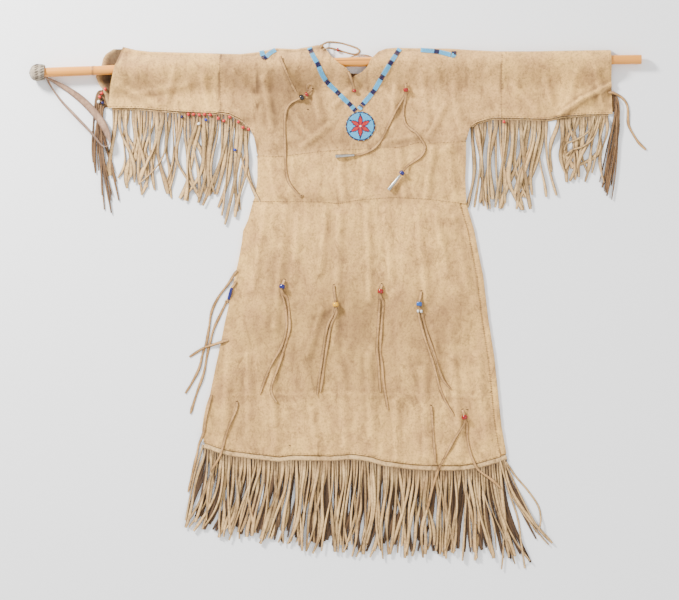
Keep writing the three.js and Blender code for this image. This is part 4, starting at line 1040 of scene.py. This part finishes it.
# %% [markdown]
# ## Seed beadwork
# Lanes of seed beads run down both sides of the neck, and a round rosette sits below it. A lane is a row of
# seven beads, repeated. Each bead is a tiny barrel with a few faces, its colour kept on its points, and a
# rule chooses the colour: blocks of navy in light blue for the lanes, six red petals for the rosette.

# %% One seed bead and the colours
SEED = 1.5
SEED_COLOURS = {"sky": srgb(84, 180, 222), "navy": srgb(8, 10, 72), "coral": srgb(204, 46, 44),
                "white": srgb(238, 236, 228), "blue": srgb(20, 48, 150)}
SEED_SECTION = ((0.62, -0.5), (1.0, -0.2), (1.0, 0.2), (0.62, 0.5))
SEED_GLASS, tree, shader = new_material("seed beads")
fill(tree, shader, {"Base Color": kept_on_points(tree, "bead_colour", "Color"), "Roughness": 0.34})


def seed_mesh(name, places, node_name, sides=6):
    vertices, faces, colours = [], [], []
    for centre, along, radius, length, colour in places:
        faces += tube_faces(len(vertices), len(SEED_SECTION), sides)
        turn = turned_to(along)
        for r, h in SEED_SECTION:
            for k in range(sides):
                angle = 2 * math.pi * k / sides
                local = Vector((math.cos(angle) * r * radius, math.sin(angle) * r * radius, h * length))
                vertices.append((turn @ local + centre) * MM)
                colours += SEED_COLOURS[colour]
    piece = add_mesh(name, vertices, faces)
    piece.data.attributes.new("bead_colour", "FLOAT_COLOR", "POINT").data.foreach_set("color", colours)
    bpy.ops.object.shade_smooth()
    finish_piece(piece, SEED_GLASS, node_name, "beadwork")
    print(name, len(places), "seed beads")
    return piece


# %% [markdown]
# A lane is worked out along its middle line. Each row of beads lies across that line, and a row near one of
# the marks is navy, so that the blocks come where the photograph has them.

# %% Lanes
LANE_BEADS = 7
BLOCK_HALF = 5.2
LANE_RISE, LANE_REACH, LANE_RADIUS = 0.95, 1.2, 0.78


def lane(name, node_name, rows, marks):
    route = smooth_route(rows, SEED)
    places = []
    for i, point in enumerate(route):
        ahead = route[min(i + 1, len(route) - 1)] - route[max(i - 1, 0)]
        across = Vector((-ahead.y, ahead.x, 0)).normalized()
        near = min(math.hypot(point.x - mx, point.y - my) for mx, my in marks)
        colour = "navy" if near < BLOCK_HALF else "sky"
        for k in range(LANE_BEADS):
            spot = point + across * (k - (LANE_BEADS - 1) / 2) * SEED
            places.append((on_surface(spot.x, spot.y, LANE_RISE, LANE_REACH), across, LANE_RADIUS,
                           SEED * 0.94, colour))
    return seed_mesh(name, places, node_name)


neck_lane_left = lane("neck_lane_left_beads", "neck_lane_left", [
    (-66, 554), (-57, 533), (-47, 515.5), (-39.5, 497), (-27.5, 478.5), (-3, 454.5), (8, 443.5),
    (22, 430.5), (35, 416)],
    [(-62, 546), (-47, 515.5), (-27, 478.5), (-3.3, 454.7), (23.5, 431), (35, 416)])
neck_lane_right = lane("neck_lane_right_beads", "neck_lane_right", [
    (132, 551), (112, 519), (93, 488.5), (74, 457.5), (50.4, 429), (43.5, 420)],
    [(126.5, 541), (112, 519), (93, 488.4), (74, 457), (50.4, 429)])
shoulder_lane_left = lane("shoulder_lane_left_beads", "shoulder_lane_left",
                          [(-171, 547), (-168, 536), (-163.5, 530), (-153, 541), (-141, 548.5)],
                          [(-165, 531)])
shoulder_lane_right = lane("shoulder_lane_right_beads", "shoulder_lane_right",
                           [(179, 548.5), (213, 545), (243, 537.5), (250.5, 536), (250.6, 545)],
                           [(213, 545), (250.6, 543)])

# %% [markdown]
# The rosette is worked in rings from the middle out. A rule gives each bead its colour from its distance and
# angle: a white centre, six coral petals with navy outlines, a sky blue ground and a spotted navy rim.

# %% Rosette
ROSETTE = Vector((46, 382, 0))
ROSETTE_RADIUS = 33.0
CENTRE_RADIUS, RIM_WIDTH, SPOT_WIDTH = 2.4, 3.4, 1.8
PETAL_LENGTH, PETAL_HALF, PETAL_LINE = 25.0, 5.6, 1.9


def rosette_colour(r, angle):
    if r < CENTRE_RADIUS:
        return "white"
    if r > ROSETTE_RADIUS - RIM_WIDTH:
        spotted = r > ROSETTE_RADIUS - SPOT_WIDTH and int(math.degrees(angle) / 5) % 4 == 0
        return "sky" if spotted else "navy"
    off = (math.degrees(angle) - 90) % 60
    off = math.radians(min(off, 60 - off))
    along, across = r * math.cos(off), r * math.sin(off)
    half = PETAL_HALF * math.sin(math.pi * clamp(along / PETAL_LENGTH) ** 0.9) ** 0.8
    if across < half - PETAL_LINE:
        return "coral"
    return "navy" if across < half or off < 0.05 and r < PETAL_LENGTH + 3 else "sky"


rosette_places = []
for ring in range(math.ceil(ROSETTE_RADIUS / SEED)):
    r = ring * SEED
    count = max(1, round(2 * math.pi * r / (SEED * 1.04)))
    for k in range(count):
        angle = 2 * math.pi * (k + 0.5 * (ring % 2)) / count
        outward = Vector((math.cos(angle), math.sin(angle), 0))
        spot = ROSETTE + outward * r
        rosette_places.append((on_surface(spot.x, spot.y, 1.5, 1.0), Vector((-outward.y, outward.x, 0)), 0.8,
                               SEED * 0.96, rosette_colour(r, angle)))
rosette = seed_mesh("rosette_beads", rosette_places, "rosette")

# %% [markdown]
# ## Cane pole, end cap and strap
# The pole is river cane: smooth, tan, with a ring at each node and a fine split along it. It is a rolled
# grid, so that nodes can swell and the pole can follow its slight bend. The cap is a knob bound in raw hide.


# %% Cane pole
CANE_ENDS, CANE_NODES = (-655.0, 662.6), (-539, -262, 150, 440)
# A drying crack shows in the neck opening as a dark line of painted shade, given as an angle round the cane and
# its two ends in x
SPLIT_TURN, SPLIT_FROM, SPLIT_TO = 18, -120, 240
SPLIT_HALF, NODE_HALF, NODE_TONE = 2, 2.5, 0.25
NODE_SWELL, SWELL_WIDTH, NODE_GROOVE, GROOVE_AT, GROOVE_WIDTH = 0.7, 3.2, 0.5, 5.5, 2.2


def rolled(name, around, steps, place):
    bpy.ops.mesh.primitive_grid_add(x_subdivisions=steps, y_subdivisions=around, size=1)
    piece = bpy.context.object
    piece.name = name
    for vertex in piece.data.vertices:
        vertex.co = place(vertex.co.x + 0.5, (vertex.co.y + 0.5) * 2 * math.pi) * MM
    bpy.ops.object.mode_set(mode="EDIT")
    bpy.ops.mesh.select_all(action="SELECT")
    bpy.ops.mesh.remove_doubles(threshold=0.00005)
    bpy.ops.mesh.select_all(action="DESELECT")
    bpy.ops.mesh.select_non_manifold()
    bpy.ops.mesh.fill()
    bpy.ops.mesh.select_all(action="SELECT")
    bpy.ops.mesh.normals_make_consistent(inside=False)
    bpy.ops.object.mode_set(mode="OBJECT")
    bpy.ops.object.shade_smooth_by_angle(angle=math.radians(45))
    return piece


def cane_centre(x):
    return Vector((x, line_at(POLE_LINE, x), line_at(POLE_HEIGHT, x)))


def cane_point(share, angle):
    x = mix(*CANE_ENDS, share)
    radius = POLE_RADIUS - 0.1 + 0.12 * math.sin(x * 0.05)
    for knot in CANE_NODES:
        away = abs(x - knot)
        radius += NODE_SWELL * math.exp(-(away / SWELL_WIDTH) ** 2)
        radius -= NODE_GROOVE * math.exp(-((away - GROOVE_AT) / GROOVE_WIDTH) ** 2)
    return cane_centre(x) + Vector((0, math.sin(angle) * radius, math.cos(angle) * radius))


def cane_material():
    material, tree, shader = new_material("cane")
    stretched = node(tree, "ShaderNodeMapping", {"Vector": object_place(tree), "Scale": (3.0, 160.0, 160.0)})
    streaks = cloud(tree, Vector=stretched.outputs["Vector"], Scale=1.6, Detail=5.0, Roughness=0.6)
    colour = blend_colours(tree, streaks, srgb(234, 162, 60), srgb(206, 124, 40))
    # The tone darkens the nodes and paints the shade in the crack
    colour = blend_colours(tree, kept_on_points(tree, "tone"), srgb(108, 66, 36), colour)
    bump = node(tree, "ShaderNodeBump", {"Height": streaks, "Strength": 0.4, "Distance": 0.0004})
    fill(tree, shader, {"Base Color": colour, "Roughness": 0.38, "Normal": bump.outputs["Normal"]})
    return material


def cane_tone(place):
    away = place - cane_centre(place.x)
    cracked = abs(math.degrees(math.atan2(away.y, away.z)) - SPLIT_TURN) < SPLIT_HALF
    if cracked and SPLIT_FROM < place.x < SPLIT_TO:
        return 0.0
    return NODE_TONE if min(abs(place.x - knot) for knot in CANE_NODES) < NODE_HALF else 1.0


cane_pole = rolled("cane_pole", 40, 300, cane_point)
keep_on_points(cane_pole, [cane_tone(vertex.co / MM) for vertex in cane_pole.data.vertices])
finish_piece(cane_pole, cane_material(), "pole", "cane")
print("cane pole", len(cane_pole.data.polygons), "faces")

# %% [markdown]
# The cap is a ball of raw hide, shrunk on to the end of the pole and laced. A profile of radii gives its shape,
# shallow folds run from end to end, and short laces lie across it in two rows.

# %% End cap
CAP_PROFILE = [(0, 0.2), (0.06, 7), (0.14, 12.5), (0.26, 16.4), (0.45, 18.4), (0.62, 18.5), (0.8, 17.8),
               (0.96, 16.6), (1, 16.2)]
CAP_LENGTH, CAP_START = 35.0, -681.0
CAP_Y, CAP_Z, CAP_SLOPE = 499, 18.95, 0.035
CAP_FOLDS, CAP_FOLD_HEIGHT = 9, 0.5


def cap_point(share, angle):
    x = CAP_START + CAP_LENGTH * share
    fold = CAP_FOLD_HEIGHT * math.sin(angle * CAP_FOLDS) * math.sin(math.pi * share)
    radius = line_at(CAP_PROFILE, share) + fold * (share > 0.1)
    return Vector((x, CAP_Y + (x - CANE_ENDS[0]) * CAP_SLOPE + math.sin(angle) * radius,
                   CAP_Z + math.cos(angle) * radius))


cap = rolled("pole_cap_leather", 48, 30, cap_point)
# The cap is darker towards the bottom and paler on top: painted shade and light
keep_on_points(cap, [0.35 + 0.6 * clamp(v.co.z / MM / 30) for v in cap.data.vertices])
finish_piece(cap, hides["cap leather"], "pole_cap", "cap_leather")


def cap_lacing(share, start, stop, count):
    loops = []
    for k in range(count):
        angle = math.radians(mix(start, stop, k / (count - 1)))
        lifted = []
        for s, rise in ((-1, 0.0), (-0.5, 0.7), (0, 1.0), (0.5, 0.7), (1, 0.0)):
            point = cap_point(share + 0.11 * s, angle + 0.10 * s)
            lifted.append(point + Vector((0, point.y - CAP_Y, point.z - CAP_Z)).normalized() * rise)
        loops.append(ribbon_rings(lifted, [1.6] * 5, 1.2))
    return loops


add_ribbons("cap_lacing", cap_lacing(0.5, -50, 70, 8) + cap_lacing(0.86, -60, 60, 7), [0.2] * 15,
            "cap leather", "cap_leather")
print("cap and its lacing")

# %% [markdown]
# The strap is one long lace of soft leather, looped through the cap and folded back on itself. It is lofted
# through rows of place, width and tilt, because it turns from lying flat to standing on its edge.

# %% Wrist strap, as x, y, z, width and tilt
STRAP = [
    (-644.2, 487, 13, 6, 50), (-628, 480, 9, 8, 30), (-593, 460, 5, 13, 10), (-564, 438, 6.5, 16, 0),
    (-538, 411, 8.5, 17, 0), (-520, 386, 8.5, 17, 10), (-509, 362, 11, 16, 40), (-505, 344, 13.5, 14, 75),
    (-512, 337, 14, 14, 88), (-523, 341, 14, 14, 80), (-547, 370, 13, 13, 68), (-584, 409, 9, 12, 60),
    (-613, 440, 7, 9, 60), (-634, 470, 6, 6, 60), (-644.2, 490, 4.6, 5, 0),
]

strap_rows = smooth_route(STRAP, parts=8)
strap_points = [Vector(row[:3]) for row in strap_rows]
strap_tilts = [math.radians(row[4]) for row in strap_rows]
strap = add_ribbons("wrist_strap_leather",
                    [ribbon_rings(strap_points, [row[3] for row in strap_rows], 1.8, strap_tilts)], [0.8],
                    "strap leather", "strap_leather", "wrist_strap")
print("strap", round(route_length(strap_points) * 1000), "mm long")

# %% [markdown]
# ## Sewing and small trim
# Sinew stitches hold the seams: a whip stitch over the welt and a fine running stitch at the yoke, band and
# sleeves. Small glass beads are knotted on the fringe below the left sleeve and at both cuffs. Slits where
# the thongs come out are painted dark, as the shade in them.


# %% Stitches, as the line, pitch, length and turn
WHIP, SLANT = math.radians(75), math.radians(70)
STITCHES = {
    "welt_stitches": ([(x - WELT - 0.2, y) for y, x in reversed(RIGHT_EDGE) if y < 212], 4.6, 6.0, WHIP),
    "yoke_seam_stitches": (YOKE_SEAM, 6.0, 3.6, 0.3),
    "band_seam_stitches": (BAND_SEAM, 6.0, 3.6, 0.3),
    "sleeve_seam_stitches_left": ([(-262, 418), (-262, 470), (-262, 536)], 5.0, 4.4, SLANT),
    "sleeve_seam_stitches_right": ([(356, 404), (356, 470), (356, 542)], 5.0, 4.4, SLANT),
    "hem_seam_stitches": ([(x, y + 2.5) for x, y in HEM[:-1]], 7.0, 4.0, 0.1),
    "underarm_stitches_left": ([(x + 1, y + 3) for x, y in UNDERARM_LEFT[:-1]], 7.0, 4.0, 0.1),
    "underarm_stitches_right": ([(x, y + 3) for x, y in UNDERARM_RIGHT], 7.0, 4.0, 0.1),
}
STITCH_THICK, STITCH_RISE = 0.8, 0.5


def stitch_line(name, rows, pitch, length, turn):
    route = smooth_route(rows, pitch)
    loops = []
    for i, point in enumerate(route[:-1]):
        ahead = (route[i + 1] - point).normalized()
        angle = turn + 0.12 * math.sin(i * 2.1)
        way = Vector((ahead.x * math.cos(angle) - ahead.y * math.sin(angle),
                      ahead.x * math.sin(angle) + ahead.y * math.cos(angle), 0))
        points = []
        for s, up in ((-0.5, -0.2), (-0.3, 0.7), (0, 1.0), (0.3, 0.7), (0.5, -0.2)):
            spot = point + way * s * length
            points.append(on_surface(spot.x, spot.y, up * STITCH_RISE, 0.5))
        loops.append(ribbon_rings(points, [STITCH_THICK] * 5, STITCH_THICK))
    print(name, len(loops), "stitches")
    tones = [0.3 + 0.25 * (i % 3) for i in range(len(loops))]
    return add_ribbons(name, loops, tones, "thong hide", "thong_hide")


stitches = {name: stitch_line(name, *row) for name, row in STITCHES.items()}

# %% [markdown]
# Red glass beads sit where the sleeve strands leave the seam, and a few more hang at the cuffs. Their places
# are easiest to read off the photograph, so this table is in pixels, and a short function turns them into mm.

# %% Small beads on the fringe, as pixel x, y and colour
def from_pixel(px, py):
    return (px - PICTURE[0] / 2) * PIXEL, (PICTURE[1] / 2 - py) * PIXEL


SMALL_BEADS = {
    "sleeve_beads_left": [
        (188.5, 114.5, "coral"), (193.6, 114.5, "coral"), (199.4, 115, "coral"), (204.6, 114.5, "coral"),
        (210.3, 115, "coral"), (218.3, 118.5, "coral"), (224, 121, "coral"), (229.8, 117.3, "coral"),
        (238.4, 122, "coral"), (243, 127.6, "coral"), (248.8, 129.4, "coral"), (199, 124, "white"),
        (206, 120, "blue"), (182, 117, "navy"), (235, 150, "blue")],
    "cuff_beads_left": [
        (105.4, 89.3, "coral"), (102, 93.4, "coral"), (100, 97.2, "coral"), (99, 102, "white"),
        (103, 103, "navy")],
    "sleeve_beads_right": [(503.8, 122, "coral"), (613, 93, "coral")],
}
SMALL_RADIUS, SMALL_LENGTH = 3.6, 5.4
for name, rows in SMALL_BEADS.items():
    places = []
    for index, (px, py, colour) in enumerate(rows):
        lean = Vector((math.cos(index * 1.9), math.sin(index * 1.9), 0.15))
        centre = on_surface(*from_pixel(px, py), SMALL_RADIUS - 0.4, 2.5)
        places.append((centre, lean, SMALL_RADIUS, SMALL_LENGTH, colour))
    seed_mesh(name, places, None, sides=16)

# %% [markdown]
# Each thong comes out of a short slit. A dark ribbon, thin as paper, lies on the hide as the painted shade in
# the slit. It shows one well enough from above, and needs no cut through the panel.

# %% Slits
SLITS = [(-121, 45), (-12.5, 33.5), (93.4, 35.5), (179.5, 20), (-225, -222.5), (201, -231.5), (270.2, -240),
         (281, -241), (-69.3, 418.9), (147, 476.5), (-59, 464.5), (287, 123), (333, -202), (-109, -320)]
SLIT_STEPS, SLIT_WIDTHS = (-3.2, -1.6, 0, 1.6, 3.2), (0.6, 2.0, 2.6, 2.0, 0.6)
slit_loops = []
for index, (x, y) in enumerate(SLITS):
    lean = 0.5 * math.sin(index * 2.3)
    points = [on_surface(x + math.cos(lean) * s, y + math.sin(lean) * s, 0.02) for s in SLIT_STEPS]
    slit_loops.append(ribbon_rings(points, SLIT_WIDTHS, 0.25))
add_ribbons("thong_slit_shade", slit_loops, [0.0] * len(slit_loops), "shaded inner hide", "dark_hide")
print(len(SLITS), "slits")

# %% [markdown]
# The ties have their own trim: a ring of sinew above the left chest bead, overhand knots that stop the laces,
# small beads on the neck laces, two white beads under the blue one and a tube bead at the left side.


# %% Knots and ring on the ties
RING_STEPS, KNOT_STEPS, KNOT_WIDTH, KNOT_THICK = 24, 28, 3.0, 1.8
KNOTS = [(147.4, 453.5), (-39.4, 558), (-248, -4), (-84, 229), (-9.2, -19), (88.6, 5), (-126.4, 14)]
RING_AT, RING_RADIUS, RING_THICK, RING_LEAN = (-66.5, 468.5), 5.6, 1.5, 1.2
FACING = [(18, 531), (32, 536.5), (49.5, 539), (64, 537), (76, 531)]

ring_points = []
for k in range(RING_STEPS + 1):
    angle = 2 * math.pi * k / RING_STEPS
    ring_points.append(on_surface(
        RING_AT[0] + math.cos(angle) * RING_RADIUS, RING_AT[1] + math.sin(angle) * RING_RADIUS * 1.2,
        RING_THICK / 2 + 0.3 + RING_LEAN * (1 + math.sin(angle)), 1.0))
knot_loops = [ribbon_rings(ring_points, [RING_THICK] * len(ring_points), RING_THICK)]
for index, (x, y) in enumerate(KNOTS):
    centre = on_surface(x, y, 2.4, 2.5)
    angles = [4 * math.pi * k / KNOT_STEPS + index for k in range(KNOT_STEPS + 1)]
    points = [centre + Vector((3.0 * math.cos(a), 2.6 * math.sin(a), 1.2 * math.cos(a * 0.75))) for a in angles]
    knot_loops.append(ribbon_rings(points, [KNOT_WIDTH] * len(points), KNOT_THICK))
facing = [point + Vector((0, 0, 3)) for point in smooth_route(FACING, 4)]
knot_loops.append(ribbon_rings(facing, [2.6] * len(facing), 1.6))
add_ribbons("tie_knots", knot_loops, [0.8] * len(knot_loops), "thong hide", "thong_hide")
print(len(KNOTS), "knots")

# %% [markdown]
# A few strands have slipped out of the fringe and lie apart from it. They are laid like the laces, and they
# ride with the hem fringe.

# %% Loose strands
LOOSE = [
    [(366, -356), (378, -374), (391, -392), (415, -420), (437, -453), (442.5, -482), (438, -506)],
    [(362, -352), (376, -384), (398, -430), (418, -470), (436, -500), (452, -520)],
    [(-300, -318), (-308, -346), (-320, -390), (-330, -440), (-338, -484)],
    [(352, -350), (372, -420), (392, -480), (400, -540), (408, -590)],
    [(560, 404), (548, 372), (520, 352), (500, 344), (494, 330)],
    [(574, 404), (560, 360), (536, 338), (512, 330), (498, 318)],
]
LOOSE_TONES = [0.9, 0.7, 0.75, 0.95, 0.8, 0.9]
LOOSE_WIDTH, LOOSE_THICK = 4.4, 2.0
loose_routes = [lay_route(rows, 4, 2, 5.0) for rows in LOOSE]
loose_rings = [ribbon_rings(route, [LOOSE_WIDTH] * len(route), LOOSE_THICK) for route in loose_routes]
loose = add_ribbons("loose_strands", loose_rings, LOOSE_TONES, "fringe hide")
print(len(LOOSE), "loose strands")

# %% [markdown]
# The last beads are on the neck laces, under the blue bead and at the left side, where one is a long tube.

# %% Small beads on the ties, as x, y, radius, length, direction and glass
TRIM = {
    "neck_loop_bead": (-3.7, 550, 4.4, 5, (1, 0.2, 0), "red"),
    "neck_tie_bead": (32.6, 459.4, 4.6, 6, (0.2, 1, 0), "red"),
    "white_bead_1": (172.5, -24.2, 3.4, 5, (1, 0, 0), "white"),
    "white_bead_2": (179.6, -24.8, 3.4, 5, (1, 0.1, 0), "white"),
}
for name, (x, y, radius, length, along, colour) in TRIM.items():
    finish_piece(bead_copy(name, on_surface(x, y, radius, radius * 0.7), along, radius, length), GLASS[colour])
TUBE_RADIUS = 3.6
start, end = (on_surface(x, y, TUBE_RADIUS, 3) for x, y in ((-236.7, 27), (-244, 1)))
tube_bead = bead_copy("tube_bead", (start + end) / 2, end - start, TUBE_RADIUS, (end - start).length)
finish_piece(tube_bead, GLASS["cobalt"])
print(len(TRIM) + 1, "small beads")

# %% [markdown]
# The panels above are the cut sheets of hide, and the fringes and stitches are sewn to them. Nothing more is
# made for them here.

# %% Sheets
print("hide panels made above")

# %% [markdown]
# Each lace's width and the length of its route are worked out again, and nothing is kept of them. All of
# these are limp laces that lie loose. Two end in cones, and the loop returns to the dress.

# %% Cords
for thong_name, lace in laces.items():
    width = NARROW.get(thong_name, (THONG, THONG_THICK))[0]
    route = routes[thong_name]
    route_length(route)
print(len(laces), "cords")

# %% [markdown]
# The pattern of the beads has done its work.

# %% Finish
bpy.data.objects.remove(pattern_bead)
